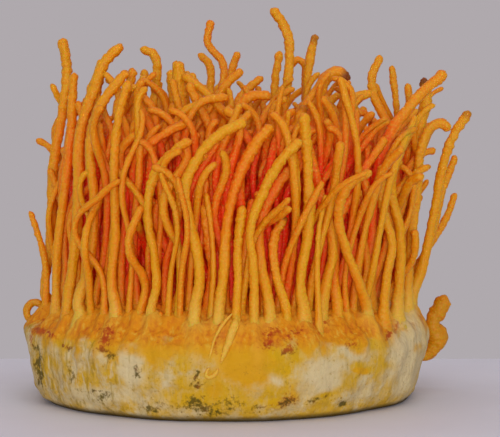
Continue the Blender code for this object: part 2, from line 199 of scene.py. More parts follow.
# The thin stalks that fill what gaps the crowd leaves. They stay between the bunch's sides, which lie
# further apart towards the back, by this share of the way there.
FILL_FEET = 2600
FILL_SPACING = 2.9
FILL_STAND_RADIUS = 53.0
FILL_SEED = 5
FILL_DIAMETERS = (1.5, 2.4)
FILL_TIPS = (80.0, 10.0, (36.0, 93.0))
FILL_ROUNDS = 30
FILL_SIDES = (-53.4, 61.0)
FILL_WIDENING = 0.11

# Which share of the tall tips inside and behind bends over, from which height on, over what lengths, how far
# in degrees, in how many steps, and which share of them bends to the right. All do so left of this x. Then
# how far a bend strays in depth, and which share of its length lies below the tip.
HOOK_SEED = 21
HOOK_SHARE = 0.6
HOOK_LOWEST = 64.0
HOOK_LENGTHS = (6.0, 15.0)
HOOK_BENDS = (25, 90)
HOOK_STEPS = 4
HOOK_RIGHT_SHARE = 0.72
HOOK_LEFT_SIDE = -35.0
HOOK_STRAY = 0.7
HOOK_START = 0.7

# How far the mat grows up between the feet, how far inside the rim and over how wide a slope that starts,
# which share of it the rim has, how far out from each foot it grows, how far it climbs them, and how far out
# from a foot that mound reaches.
MAT_RISE = 3.2
MAT_RIM = 1.5
MAT_SLOPE = 8.0
MAT_RIM_SHARE = 0.3
MAT_REACH = 2.4
FOOT_MOUND = 2.2
FOOT_MOUND_REACH = 1.3

# The ridges that run from the feet at the rim down the wall: from which radius on a foot has one, how far
# they stand out, how wide they are against their feet, the heights at which they end, over how much height,
# and how far inside the foot they start, over how much of the radius.
RIDGE_FROM_RADIUS = 48.5
RIDGE_HEIGHTS = (0.1, 0.8)
RIDGE_WIDTH = 1.1
RIDGE_ENDS = (12.0, 21.5)
RIDGE_END_FADE = 6.0
RIDGE_START = 2.0
RIDGE_START_FADE = 3.0
RIDGE_SEED = 12

# The heads of young stalks that stand on the mat: how many spots are tried, how far apart they stand, within
# which radius, how thick and how high they are, and how far they lean at random and outwards for each
# millimetre of height. Then the middle's share of the lean, which share of them stays in the middle of the
# mat, how far they keep from other feet, how deep they reach into the mat, and the girths of foot, middle and
# tip.
STUB_TRIES = 900
STUB_SPACING = 1.7
STUB_SEED = 8
STUB_STAND_RADIUS = 51.0
STUB_DIAMETERS = (0.8, 1.5)
STUB_HEIGHTS = (0.0, 1.3)
STUB_LEAN = 0.16
STUB_OUTWARD_LEAN = 0.12
STUB_MIDDLE_LEAN = 0.35
STUB_MIDDLE_SHARE = 0.35
STUB_CLEARANCE = 1.9
STUB_SUNK = 0.8
STUB_GIRTHS = (1.2, 1.0, 0.7)

# The shown stalks are round, so they are this much thinner than the solid's six-sided ones across corners:
# those that stand out, and those of the crowd.
GIRTH_SHARE = 0.81
CROWD_GIRTH_SHARE = 0.74

# How far the shown stalks reach down into the mat, past the solid's foot.
ROOT_DEPTH = 1.9

# How finely a stalk's curve is divided between two of its bends.
CURVE_STEPS = 16

# What is drawn for each stalk has a seed of its own: its tint, its paleness and how far its foot flares,
# which lies between these shares of the flare.
TINT_SEED = 3
PALE_SEED = 4
FLARE_SEED = 9
FLARE_SHARES = (0.5, 1.5)
# Along which shares of its length a stalk widens to its club and narrows again, how much of the club the tip
# keeps, and the radius of the last ring against the stalk's.
CLUB_WIDENS = (0.4, 0.85)
CLUB_NARROWS = (0.9, 1.0)
CLUB_AT_TIP = 0.2
LAST_RING = 0.1
# How far apart the skins of two stalks lie in the noise, in metres.
SKIN_SHIFT = (0.31, 0.17, 0.53)

# From yellow, 0, to orange, 1: where the colours of each group's stalks lie.
GROUP_TINTS = {"front": (0.0, 0.6), "left": (0.1, 0.7), "middle": (0.0, 0.9), "right": (0.1, 0.7)}

# The stalks whose feet are pale, and how pale, and how pale all others are.
PLAIN_FOOT = 0.1
PALE_FEET = {
    "front_stalk_01": 0.5,
    "front_stalk_03": 0.9,
    "front_stalk_04": 0.8,
    "front_stalk_05": 0.5,
    "front_stalk_06": 0.8,
    "front_stalk_07": 1.0,
    "front_stalk_10": 0.9,
    "front_stalk_11": 0.6,
    "front_stalk_13": 0.5,
    "front_stalk_14": 0.7,
    "front_stalk_17": 0.5,
    "front_stalk_18": 0.5,
    "front_stalk_20": 0.9,
    "front_stalk_22": 1.0,
    "right_stalk_04": 0.8,
    "right_stalk_05": 1.0,
    "right_stalk_08": 0.9,
}

# A close group of short thin stalks in the middle of the front: diameter, foot, tip's y, bends and tip.
GATHERED_STALKS = (
    (1.5, (-10.4, -45.6), -46, ((-9.6, 44), (-8.3, 59), (-7.9, 68.6))),
    (1.4, (-7.6, -42.4), -46, ((-7.4, 46), (-6.5, 60), (-6.2, 70.2))),
    (1.5, (-7.4, -47.8), -47, ((-6.6, 44), (-5.6, 56), (-4.9, 65.4))),
    (1.4, (-2.0, -43.8), -47, ((-1.9, 45), (-1.6, 58), (-1.7, 68.2))),
    (1.5, (0.6, -46.4), -47, ((0.2, 44), (-0.4, 57), (-0.2, 67.0))),
    (1.5, (2.0, -43.0), -46, ((1.8, 46), (1.3, 58), (1.4, 69.0))),
    (1.6, (-3.6, -50.4), -51, ((-3.0, 41), (-3.6, 52), (-5.0, 61.6))),
    (1.5, (-12.6, -49.6), -50, ((-12.2, 40), (-12.8, 50), (-13.8, 60.4))),
    (1.5, (10.6, -47.0), -48, ((9.6, 42), (8.6, 53), (8.8, 62.0))),
    (1.5, (25.6, -48.0), -48, ((25.2, 40), (25.6, 51), (27.4, 61.0))),
)

# How brown some tips are.
DARK_TIPS = {
    "middle_stalk_18": 0.9,
    "right_stalk_04": 0.9,
    "front_stalk_12": 0.7,
    "front_stalk_15": 0.7,
    "middle_stalk_15": 0.5,
    "right_stalk_08": 0.4,
    "middle_stalk_17": 0.5,
}

# The camera stands this far in front of the cake's centre and this high, aimed at a point over the centre.
CAMERA_X = 6.9
CAMERA_DISTANCE = 545.0
CAMERA_HEIGHT = 77.0
AIM_HEIGHT = 52.4
FOCAL_LENGTH = 131.98
SENSOR_WIDTH = 36.0
CAMERA_CLIP = (0.01, 20.0)

# The lights: name, place and size in metres, and power. Then, in metres too, how far the table top reaches
# to the sides and the front, and behind, and the size of its faint clouds. Their shade is a share.
LIGHT_AIM = (0.0, 0.0, 0.05)
LIGHTS = (
    ("front light", (0.02, -1.35, 0.125), 0.13, 6.75),
    ("key light", (0.1, -0.75, 0.75), 0.6, 1.2),
    ("top light", (0.0, 0.1, 1.1), 0.8, 1.9),
)
TABLE_SIDE = 1.6
TABLE_BACK = 0.086
TABLE_CLOUD = 0.05
TABLE_SHADE = 0.95

# The bunch's hull, in metres: the height and radius of its foot, and for each metre of height how far it
# widens and drifts to the right. What lies inside it is painted red as shade, a quarter as strongly below the
# first of these heights as above the second.
HULL_FOOT = 0.028
HULL_RADIUS = 0.053
HULL_WIDENING = 0.08
HULL_DRIFT = 0.06
RED_FROM = (0.025, 0.035)

# Where a stalk's front and back also count as facing outwards, and so are painted as lit, in metres: from
# which x to which at the sides, and from which height to which at the tips.
SIDES_SHOWN = (0.026, 0.042)
TIPS_SHOWN = (0.058, 0.082)

# The sizes of marks, in metres: streaks along a stalk, and on the cake stains, speckles and upright streaks.
STALK_STREAKS = 0.0011
STAINS = 0.008
SPECKLES = 0.0013
CAKE_STREAKS = 0.0012

# Where the cake's colours change, in metres: the heights of the shadow painted along its bottom edge, red
# grain and mat, and the x at which the streaks of the left side start and at which they are full.
CONTACT_SHADOW_HEIGHTS = (0.0002, 0.0022)
RED_GRAIN = (0.017, 0.021)
MAT_EDGE = (0.0185, 0.0235)
LEFT_STREAKS = (-0.014, -0.034)

# The patches' edges: their size in metres, raggedness and softness.
PATCH_EDGES = {
    "white": (0.0045, 0.8, 0.4),
    "yellow": (0.0035, 1.0, 0.35),
    "orange": (0.0035, 0.9, 0.33),
    "red": (0.0010, 1.6, 0.35),
    "dark": (0.0010, 2.0, 0.28),
}

# The kinds of a node group's sockets.
NUMBER = "NodeSocketFloat"
WHOLE = "NodeSocketInt"
VECTOR = "NodeSocketVector"
GEOMETRY = "NodeSocketGeometry"


def clear(name):
    """A hex colour as the linear colour that the shaders take."""
    parts = [int(name[place:place + 2], 16) / 255 for place in (0, 2, 4)]
    return tuple(part / 12.92 if part <= 0.04045 else ((part + 0.055) / 1.055) ** 2.4 for part in parts)


WALL_COLOUR = clear("AFA9AD")
FLOOR_COLOUR = clear("E2E2EC")
FLESH_YELLOW = clear("DE9C08")
FLESH_AMBER = clear("E29004")
FLESH_ORANGE = clear("E67C02")
# Red painted as shade inside the bunch, on the stalks and on the mat between them.
INNER_SHADE_RED = clear("FF2A02")
FLESH_PALE = clear("E0B23E")
# Dark orange painted as shade in the pits of the flesh's grain.
PIT_SHADE = clear("B84A04")
TIP_BROWN = clear("703208")
MYCELIUM_CREAM = clear("C2A76E")
MYCELIUM_WHITE = clear("D0BC8C")
MYCELIUM_YELLOW = clear("CC9E08")
MYCELIUM_ORANGE = clear("D0980C")
MAT_ORANGE = clear("DA8B05")
MAT_SHADE = clear("C8680A")
MAT_RED = clear("AC440A")
YELLOW_SHADE = clear("9A7C14")
MYCELIUM_OLIVE = clear("544808")
# The dark line painted as shadow along the cake's bottom edge.
CONTACT_SHADOW = clear("40300E")
# Brown of the dark grain marks, also painted as shade in the cake's pits.
GRAIN_BROWN_AND_PIT_SHADE = clear("74380A")
GRAIN_RED = clear("A83C08")


def cake_lump(angle, height):
    """How far the cake's wall stands proud of its turned outline here."""
    lump = 0.0
    for size, count, start, lean in CAKE_LUMPS:
        lump = lump + size * np.sin(count * angle + start + lean * height)
    return lump


def cake_top(foot, radius):
    """Height of the cake's upper face under the inner edge of a foot of this radius, where it is highest."""
    angle = math.atan2(foot[1], foot[0])
    reach, level = [], []
    for top_radius, height in CAKE_OUTLINE[:CAKE_TOP_POINTS]:
        lump = cake_lump(angle, height) if top_radius > LUMPS_FROM_RADIUS else 0.0
        reach.append(top_radius + lump)
        level.append(height)
    inner_edge = max(0.0, math.hypot(foot[0], foot[1]) - radius * FOOT_FLARE)
    return float(np.interp(inner_edge, reach, level))


def standing_route(diameter, foot, tip_y, bends):
    """The points of a stalk whose bends are seen from the front. Its depth changes evenly with height."""
    foot_x, foot_y = foot
    foot_z = cake_top(foot, diameter / 2) + FOOT_GAP
    rise = bends[-1][1] - foot_z
    points = [(foot_x, foot_y, foot_z), (foot_x, foot_y, foot_z + FOOT_RISE)]
    for x, z in bends:
        points.append((x, foot_y + (tip_y - foot_y) * (z - foot_z) / rise, z))
    return np.array(points), diameter / 2


def leaning_route(draw, foot, out, tips, diameters):
    """A stalk drawn at random, which leans outwards more the nearer it stands to the rim."""
    tip_height, spread, (lowest, highest) = tips
    tip_z = tip_height - CROWD_EDGE_DROP * (out / STAND_RADIUS) ** 2
    tip_z += draw.gauss(0, spread)
    tip_z = min(max(tip_z, lowest), highest)
    lean = foot / STAND_RADIUS * CROWD_LEAN + (CROWD_DRIFT, 0.0)
    strays = [np.array((draw.gauss(0, stray), draw.gauss(0, stray))) for _, stray in CROWD_BENDS]
    stalk_radius = draw.uniform(*diameters) / 2
    foot_z = cake_top(foot, stalk_radius) - CROWD_ROOT
    points = [(*foot, foot_z), (*foot, foot_z + FOOT_RISE)]
    for (share, _), stray in zip(CROWD_BENDS, strays):
        spot = foot + lean * share**CROWD_LEAN_GROWTH + stray * share
        points.append((*spot, foot_z + (tip_z - foot_z) * share))
    return np.array(points), stalk_radius


def crowd_routes(taken):
    """The inner and rear stalks of the solid, on a spiral, wherever no other foot is near."""
    draw = random.Random(CROWD_SEED)
    routes = []
    for number in range(CROWD_FEET):
        out = STAND_RADIUS * math.sqrt((number + 0.5) / CROWD_FEET)
        angle = number * GOLDEN_ANGLE
        foot = np.array((out * math.cos(angle), out * math.sin(angle)))
        foot += (draw.uniform(-CROWD_SCATTER, CROWD_SCATTER), draw.uniform(-CROWD_SCATTER, CROWD_SCATTER))
        route = leaning_route(draw, foot, out, CROWD_TIPS, CROWD_DIAMETERS)
        if any(math.dist(foot, other) < CROWD_SPACING for other in taken):
            continue
        taken.append(tuple(foot))
        routes.append(route)
    return routes


def fill_routes(taken):
    """Thinner stalks for the gaps between the others, on feet drawn at random."""
    draw = random.Random(FILL_SEED)
    routes = []
    for _ in range(FILL_FEET):
        out = FILL_STAND_RADIUS * math.sqrt(draw.random())
        angle = draw.uniform(0, 2 * math.pi)
        foot = np.array((out * math.cos(angle), out * math.sin(angle)))
        route = leaning_route(draw, foot, out, FILL_TIPS, FILL_DIAMETERS)
        if any(math.dist(foot, other) < FILL_SPACING for other in taken):
            continue
        taken.append(tuple(foot))
        routes.append(route)
    return routes


def within_sides(points):
    """Whether a thin stalk stays between the bunch's sides, which lie further apart towards the back."""
    widening = points[:, 1] * FILL_WIDENING
    left, right = FILL_SIDES
    return (points[:, 0] + widening).min() > left and (points[:, 0] - widening).max() < right


def set_down(routes, gap):
    """Brings every foot to this height above the cake again, where easing has moved it."""
    for points, radius in routes:
        foot_z = cake_top(points[0, :2], radius) + gap
        points[0, 2] = foot_z
        points[1, 2] = foot_z + FOOT_RISE


def hook_tips(routes, seed):
    """Bends most of the tall tips over in smooth arcs, as the upper ends of crowded stalks do."""
    draw = random.Random(seed)
    hooked = []
    for points, radius in routes:
        length = draw.uniform(*HOOK_LENGTHS)
        bend = math.radians(draw.uniform(*HOOK_BENDS))
        side = 1.0 if draw.random() < HOOK_RIGHT_SHARE or points[-1, 0] < HOOK_LEFT_SIDE else -1.0
        aside = np.array((side, draw.uniform(-HOOK_STRAY, HOOK_STRAY), 0.0))
        if draw.random() > HOOK_SHARE or points[-1, 2] < HOOK_LOWEST:
            hooked.append((points, radius))
            continue
        aside /= np.linalg.norm(aside)
        upward = points[-1] - points[-2]
        upward /= np.linalg.norm(upward)
        spot = points[-1] - upward * length * HOOK_START
        arc = [spot]
        for step in range(HOOK_STEPS):
            angle = bend * (step + 0.5) / HOOK_STEPS
            onward = upward * math.cos(angle) + aside * math.sin(angle)
            spot = spot + onward / np.linalg.norm(onward) * length / HOOK_STEPS
            arc.append(spot)
        hooked.append((np.vstack((points[:-1], arc)), radius))
    return hooked


def mat_rise(x, y, feet):
    """How far the mat has grown up round the feet of the stalks, over the cake's upper face."""
    crowding = np.zeros_like(x)
    mound = np.zeros_like(x)
    for foot_x, foot_y, foot_radius, _ in feet:
        gap = np.hypot(x - foot_x, y - foot_y)
        crowding += np.exp(-((gap / (foot_radius + MAT_REACH)) ** 2))
        mound = np.maximum(mound, np.exp(-((gap / (foot_radius + FOOT_MOUND_REACH)) ** 2)))
    inward = np.clip((CAKE_RADIUS - MAT_RIM - np.hypot(x, y)) / MAT_SLOPE, 0, 1)
    inward = inward * inward * (3 - 2 * inward)
    rim_share = MAT_RIM_SHARE + (1 - MAT_RIM_SHARE) * inward
    return MAT_RISE * (1 - np.exp(-crowding)) * rim_share + FOOT_MOUND * mound


def stub_routes(roots):
    """The heads of young stalks wherever no foot is close."""
    draw = random.Random(STUB_SEED)
    feet = KDTree(len(roots))
    for number, (foot_x, foot_y, _, _) in enumerate(roots):
        feet.insert((foot_x, foot_y, 0.0), number)
    feet.balance()
    routes, placed = [], []
    for _ in range(STUB_TRIES):
        radius = STUB_STAND_RADIUS * math.sqrt(draw.random())
        angle = draw.uniform(0, 2 * math.pi)
        spot = np.array((radius * math.cos(angle), radius * math.sin(angle)))
        height = STUB_HEIGHTS[0] + (STUB_HEIGHTS[1] - STUB_HEIGHTS[0]) * draw.random() ** 2
        lean = np.array((draw.gauss(0, STUB_LEAN), draw.gauss(0, STUB_LEAN)))
        lean = lean + spot / STAND_RADIUS * STUB_OUTWARD_LEAN
        stub_radius = draw.uniform(*STUB_DIAMETERS) / 2
        if draw.random() > STUB_MIDDLE_SHARE + (1 - STUB_MIDDLE_SHARE) * (radius / STAND_RADIUS) ** 3:
            continue
        if feet.find((*spot, 0.0))[2] < STUB_CLEARANCE:
            continue
        if any(math.dist(spot, other) < STUB_SPACING for other in placed):
            continue
        placed.append(tuple(spot))
        foot_z = cake_top(spot, 0.0) + float(mat_rise(spot[:1], spot[1:], roots)[0]) - STUB_SUNK
        top = spot + lean * height
        middle = spot + lean * height * STUB_MIDDLE_LEAN
        points = [(*spot, foot_z), (*middle, foot_z + height / 2), (*top, foot_z + height + STUB_SUNK)]
        routes.append((np.array(points), [stub_radius * share for share in STUB_GIRTHS]))
    return routes


def easing_samples(routes):
    """Spots along every stalk's straight runs: (stalk, run, share of the run) and their places."""
    keys, spots = [], []
    for stalk, (points, _) in enumerate(routes):
        for run in range(len(points) - 1):
            length = float(np.linalg.norm(points[run + 1] - points[run]))
            count = max(2, math.ceil(length / EASING_STEP))
            for step in range(count):
                share = (step + 0.5) / count
                keys.append((stalk, run, share))
                spots.append(points[run] * (1 - share) + points[run + 1] * share)
    return keys, spots


def ease_apart(routes, rounds, held=0):
    """Moves stalks that would run through each other sideways until they clear. The first may be held."""
    widest = max(radius for _, radius in routes)
    for _ in range(rounds):
        keys, spots = easing_samples(routes)
        tree = KDTree(len(spots))
        for number, spot in enumerate(spots):
            tree.insert(spot, number)
        tree.balance()
        moves = [np.zeros((len(points), 2)) for points, _ in routes]
        worst = 0.0
        for number, spot in enumerate(spots):
            stalk, run, share = keys[number]
            reach = routes[stalk][1] * FOOT_FLARE + widest * FOOT_FLARE + SIDE_GAP
            for other_spot, other_number, distance in tree.find_range(spot, reach):
                other, other_run, other_share = keys[other_number]
                if other <= stalk or other < held:
                    continue
                flare = FOOT_FLARE if run == 0 or other_run == 0 else STEM_ALLOWANCE
                short = (routes[stalk][1] + routes[other][1]) * flare + SIDE_GAP - distance
                if short <= 0:
                    continue
                worst = max(worst, short)
                away = np.array((spot[0] - other_spot[0], spot[1] - other_spot[1]))
                away /= max(float(np.hypot(*away)), 1e-6)
                push = away * short * EASING_SHARE
                moves[stalk][run] += push * (1 - share)
                moves[stalk][run + 1] += push * share
                moves[other][other_run] -= push * (1 - other_share)
                moves[other][other_run + 1] -= push * other_share
        if worst < EASING_ENOUGH:
            break
        for (points, _), move in zip(routes[held:], moves[held:]):
            size = np.linalg.norm(move, axis=1, keepdims=True)
            move *= np.minimum(1.0, EASING_LARGEST_MOVE / np.maximum(size, 1e-9))
            foot_move = (move[0] + move[1]) / 2
            points[0, :2] += foot_move
            points[1, :2] += foot_move
            points[2:, :2] += move[2:]


def new_node(tree, kind, **settings):
    """Adds a node and sets what is named."""
    made = tree.nodes.new(kind)
    for name, value in settings.items():
        setattr(made, name, value)
    return made


def feed(tree, target, source):
    """Gives an input its link or its plain value."""
    if isinstance(source, bpy.types.NodeSocket):
        tree.links.new(source, target)
    elif source is not None:
        target.default_value = source


def fed_node(tree, kind, inputs, **settings):
    """Adds a node with these settings and gives its inputs, by name or by number."""
    made = new_node(tree, kind, **settings)
    for label, value in inputs.items():
        feed(tree, made.inputs[label], value)
    return made


def calc(tree, operation, *values, clamped=False):
    """A sum of one or more values."""
    inputs = dict(enumerate(values))
    return fed_node(tree, "ShaderNodeMath", inputs, operation=operation, use_clamp=clamped).outputs[0]


def plus(tree, *values):
    """The values added up."""
    total = values[0]
    for value in values[1:]:
        total = calc(tree, "ADD", total, value)
    return total


def minus(tree, first, second):
    """One value less the other."""
    return calc(tree, "SUBTRACT", first, second)


def times(tree, *values):
    """The values multiplied."""
    total = values[0]
    for value in values[1:]:
        total = calc(tree, "MULTIPLY", total, value)
    return total


def over(tree, first, second, clamped=False):
    """One value divided by the other."""
    return calc(tree, "DIVIDE", first, second, clamped=clamped)


def slide(tree, value, low, high, start=0.0, end=1.0):
    """Eases from start to end while the value goes from low to high."""
    inputs = dict(enumerate((value, low, high, start, end)))
    return fed_node(tree, "ShaderNodeMapRange", inputs, interpolation_type="SMOOTHSTEP").outputs[0]


def vector_calc(tree, operation, first, second=None):
    """A sum of vectors."""
    made = fed_node(tree, "ShaderNodeVectorMath", {0: first, 1: second}, operation=operation)
    return made.outputs["Value"] if operation in ("LENGTH", "DOT_PRODUCT") else made.outputs[0]


def scaled(tree, vector, scale):
    """A vector made longer or shorter."""
    inputs = {0: vector, "Scale": scale}
    return fed_node(tree, "ShaderNodeVectorMath", inputs, operation="SCALE").outputs[0]


def stretched(tree, vector, shares):
    """A vector with its three parts multiplied by these shares."""
    return vector_calc(tree, "MULTIPLY", vector, shares)


def split(tree, vector):
    """The three parts of a vector."""
    return tuple(fed_node(tree, "ShaderNodeSeparateXYZ", {0: vector}).outputs)


def join(tree, *parts):
    """A vector of three parts."""
    return fed_node(tree, "ShaderNodeCombineXYZ", dict(enumerate(parts))).outputs[0]


def per(tree, size):
    """One over a size, which is a plain value or a link."""
    return over(tree, 1.0, size) if isinstance(size, bpy.types.NodeSocket) else 1.0 / size


def cloudy(tree, place, size, detail=2.0, roughness=0.5):
    """Soft noise with features of this size."""
    inputs = {"Vector": place, "Scale": per(tree, size), "Detail": detail, "Roughness": roughness}
    return fed_node(tree, "ShaderNodeTexNoise", inputs).outputs[0]


def cells(tree, place, size):
    """Distance from the middle of cells of this size."""
    inputs = {"Vector": place, "Scale": per(tree, size)}
    return fed_node(tree, "ShaderNodeTexVoronoi", inputs).outputs["Distance"]


def blend_colour(tree, share, first, second):
    """One colour going into another."""
    first, second = ((*colour, 1.0) if isinstance(colour, tuple) else colour for colour in (first, second))
    return fed_node(tree, "ShaderNodeMix", {0: share, 6: first, 7: second}, data_type="RGBA").outputs[2]


def layered(tree, colour, *layers):
    """A colour with others laid over it, one after the other, each by its share."""
    for share, cover in layers:
        colour = blend_colour(tree, share, colour, cover)
    return colour


def new_group(name, kind, inputs, outputs):
    """An empty node group with its named inputs and outputs."""
    tree = bpy.data.node_groups.new(name, kind)
    for label, socket, value in inputs:
        made = tree.interface.new_socket(name=label, in_out="INPUT", socket_type=socket)
        if value is not None:
            made.default_value = value
    for label, socket in outputs:
        tree.interface.new_socket(name=label, in_out="OUTPUT", socket_type=socket)
    start = new_node(tree, "NodeGroupInput")
    end = new_node(tree, "NodeGroupOutput")
    return tree, start.outputs, end.inputs


def place_group(tree, group, **values):
    """Places a shader group in a material and gives its inputs. Underscores stand for spaces."""
    inputs = {label.replace("_", " "): value for label, value in values.items()}
    return fed_node(tree, "ShaderNodeGroup", inputs, node_tree=group).outputs


def attribute(tree, name, output="Fac"):
    """A value that the mesh carries."""
    return new_node(tree, "ShaderNodeAttribute", attribute_name=name).outputs[output]


def inner_shade_group():
    """How deep a spot lies inside the bunch, where red shade is painted: 0 outside, 1 well between the stalks
    and under their tips.
    """
    group, given, result = new_group(
        "inside the bunch",
        "ShaderNodeTree",
        (
            ("Place", VECTOR, None),
            ("Reach", NUMBER, 0.018),
            ("Canopy", NUMBER, 0.093),
            ("Canopy Depth", NUMBER, 0.030),
        ),
        (("Inside", NUMBER),),
    )
    x, y, z = split(group, given["Place"])
    rise = calc(group, "MAXIMUM", minus(group, z, HULL_FOOT), 0.0)
    x = minus(group, x, times(group, rise, HULL_DRIFT))
    radius = vector_calc(group, "LENGTH", join(group, x, y, 0.0))
    outer = plus(group, times(group, rise, HULL_WIDENING), HULL_RADIUS)
    from_side = slide(group, over(group, minus(group, outer, radius), given["Reach"]), 0.1, 1.0)
    under = over(group, minus(group, given["Canopy"], z), given["Canopy Depth"])
    from_top = slide(group, under, 0.0, 1.0)
    from_mat = slide(group, z, *RED_FROM, 0.25, 1.0)
    feed(group, result["Inside"], times(group, from_side, from_top, from_mat))
    return group


def grain_group():
    """Fine grain for flesh and for mycelium: its tone and its height."""
    group, given, result = new_group(
        "fine grain",
        "ShaderNodeTree",
        (
            ("Place", VECTOR, None),
            ("Grain Size", NUMBER, 0.0006),
            ("Mottle Size", NUMBER, 0.004),
        ),
        (("Tone", NUMBER), ("Height", NUMBER)),
    )
    fine = cloudy(group, given["Place"], given["Grain Size"], detail=3.0, roughness=0.6)
    mottle = cloudy(group, given["Place"], given["Mottle Size"], detail=3.0, roughness=0.55)
    beads = cells(group, given["Place"], times(group, given["Grain Size"], 1.6))
    feed(group, result["Tone"], plus(group, times(group, fine, 0.35), times(group, mottle, 0.65)))
    feed(group, result["Height"], minus(group, plus(group, fine, times(group, mottle, 0.6)), beads))
    return group


def edge_group():
    """Turns a soft mask into a patch with a ragged edge."""
    group, given, result = new_group(
        "ragged patch",
        "ShaderNodeTree",
        (
            ("Place", VECTOR, None),
            ("Mask", NUMBER, 0.0),
            ("Edge Size", NUMBER, 0.003),
            ("Raggedness", NUMBER, 0.8),
            ("Softness", NUMBER, 0.18),
        ),
        (("Patch", NUMBER),),
    )
    wander = minus(group, cloudy(group, given["Place"], given["Edge Size"], detail=4.0, roughness=0.6), 0.5)
    value = plus(group, given["Mask"], times(group, wander, given["Raggedness"]))
    low = minus(group, 0.5, given["Softness"])
    high = plus(group, 0.5, given["Softness"])
    feed(group, result["Patch"], slide(group, value, low, high))
    return group


def new_material(name, roughness, **sockets):
    """A material with its Principled shader and the plain values of its sockets."""
    material = bpy.data.materials.new(name)
    material.use_nodes = True
    tree = material.node_tree
    shader = tree.nodes["Principled BSDF"]
    feed(tree, shader.inputs["Roughness"], roughness)
    for label, value in sockets.items():
        shader.inputs[label.replace("_", " ")].default_value = value
    place = new_node(tree, "ShaderNodeTexCoord").outputs["Object"]
    return material, tree, shader, place


def add_bump(tree, shader, height, distance, strength):
    """Feeds a height into the shader's normal."""
    bump = fed_node(tree, "ShaderNodeBump", {"Height": height, "Distance": distance, "Strength": strength})
    feed(tree, shader.inputs["Normal"], bump.outputs["Normal"])


def flesh_material(name, groups, shade_redness=1.0, warmth=0.0, pale_share=0.24, glow=0.0035, browning=0.0):
    """Stalk flesh: yellow facing out, orange aside and red inside the bunch, as painted light and shade;
    paler at the foot.
    """
    material, tree, shader, place = new_material(
        name, 0.5, Subsurface_Weight=0.5, Subsurface_Scale=glow, Subsurface_Radius=(1.0, 0.22, 0.04),
        Specular_IOR_Level=0.25,
    )
    skin = attribute(tree, "skin", "Vector")
    share = attribute(tree, "share")
    outward = attribute(tree, "outward")
    # Painted light and shade: yellower where a spot faces out of the bunch, more orange where it faces aside.
    sideways = slide(tree, outward, 0.45, 1.0, 1.0, 0.0)
    inside = place_group(tree, groups["inside"], Place=place, Reach=0.009)["Inside"]
    outside = minus(tree, 1.0, inside)
    grain = place_group(tree, groups["grain"], Place=skin, Grain_Size=0.0005, Mottle_Size=0.005)
    streaks = cloudy(tree, stretched(tree, skin, (1.0, 1.0, 0.09)), STALK_STREAKS)

    # How orange a spot is: by stalk, grain, tip and streaks, and by painted shade where it faces aside and
    # where it lies inside the bunch.
    tone = plus(
        tree,
        times(tree, attribute(tree, "tint"), 0.55),
        times(tree, grain["Tone"], 0.75),
        times(tree, slide(tree, share, 0.86, 0.99), 0.05),
        times(tree, streaks, 0.35),
        times(tree, sideways, 0.55),
        times(tree, inside, 0.3 * shade_redness),
        warmth - 0.6,
    )
    tip_clear = minus(tree, 1.0, times(tree, slide(tree, share, 0.7, 0.95), 0.6))
    foot = times(tree, slide(tree, share, pale_share * 0.2, pale_share, 1.0, 0.0), outside)
    # Pale feet are painted paler still where they face out, as light.
    paleness = times(tree, attribute(tree, "pale"), slide(tree, outward, 0.35, 0.85, 0.3, 1.0))
    root = blend_colour(tree, paleness, MAT_ORANGE, FLESH_PALE)
    graininess = slide(tree, share, 0.4, 0.75, 0.55, 1.0)
    # The layers of colour, from the lowest up.
    colour = layered(
        tree,
        FLESH_YELLOW,
        (slide(tree, tone, 0.05, 0.55), FLESH_AMBER),
        (slide(tree, tone, 0.45, 1.1), FLESH_ORANGE),
        # Painted shade: red inside the bunch, less so towards the tips.
        (times(tree, inside, tip_clear, shade_redness), INNER_SHADE_RED),
        (times(tree, foot, paleness), FLESH_PALE),
        (times(tree, slide(tree, share, 0.02, 0.08, 1.0, 0.0), outside), root),
        # Painted highlights on the grain's raised beads and painted shade in its pits, more strongly towards
        # the tips.
        (times(tree, slide(tree, grain["Height"], 0.3, 0.7, 0.0, 0.42), graininess), FLESH_PALE),
        (times(tree, slide(tree, grain["Height"], 0.1, -0.45, 0.0, 0.42), graininess), PIT_SHADE),
        (times(tree, slide(tree, share, 0.955, 0.985), attribute(tree, "dark_tip")), TIP_BROWN),
        (browning, TIP_BROWN),
    )
    feed(tree, shader.inputs["Base Color"], colour)
    feed(tree, shader.inputs["Roughness"], slide(tree, grain["Tone"], 0.3, 0.7, 0.42, 0.6))
    height = plus(tree, grain["Height"], times(tree, streaks, 0.7))
    add_bump(tree, shader, height, distance=0.00024, strength=0.7)
    return material


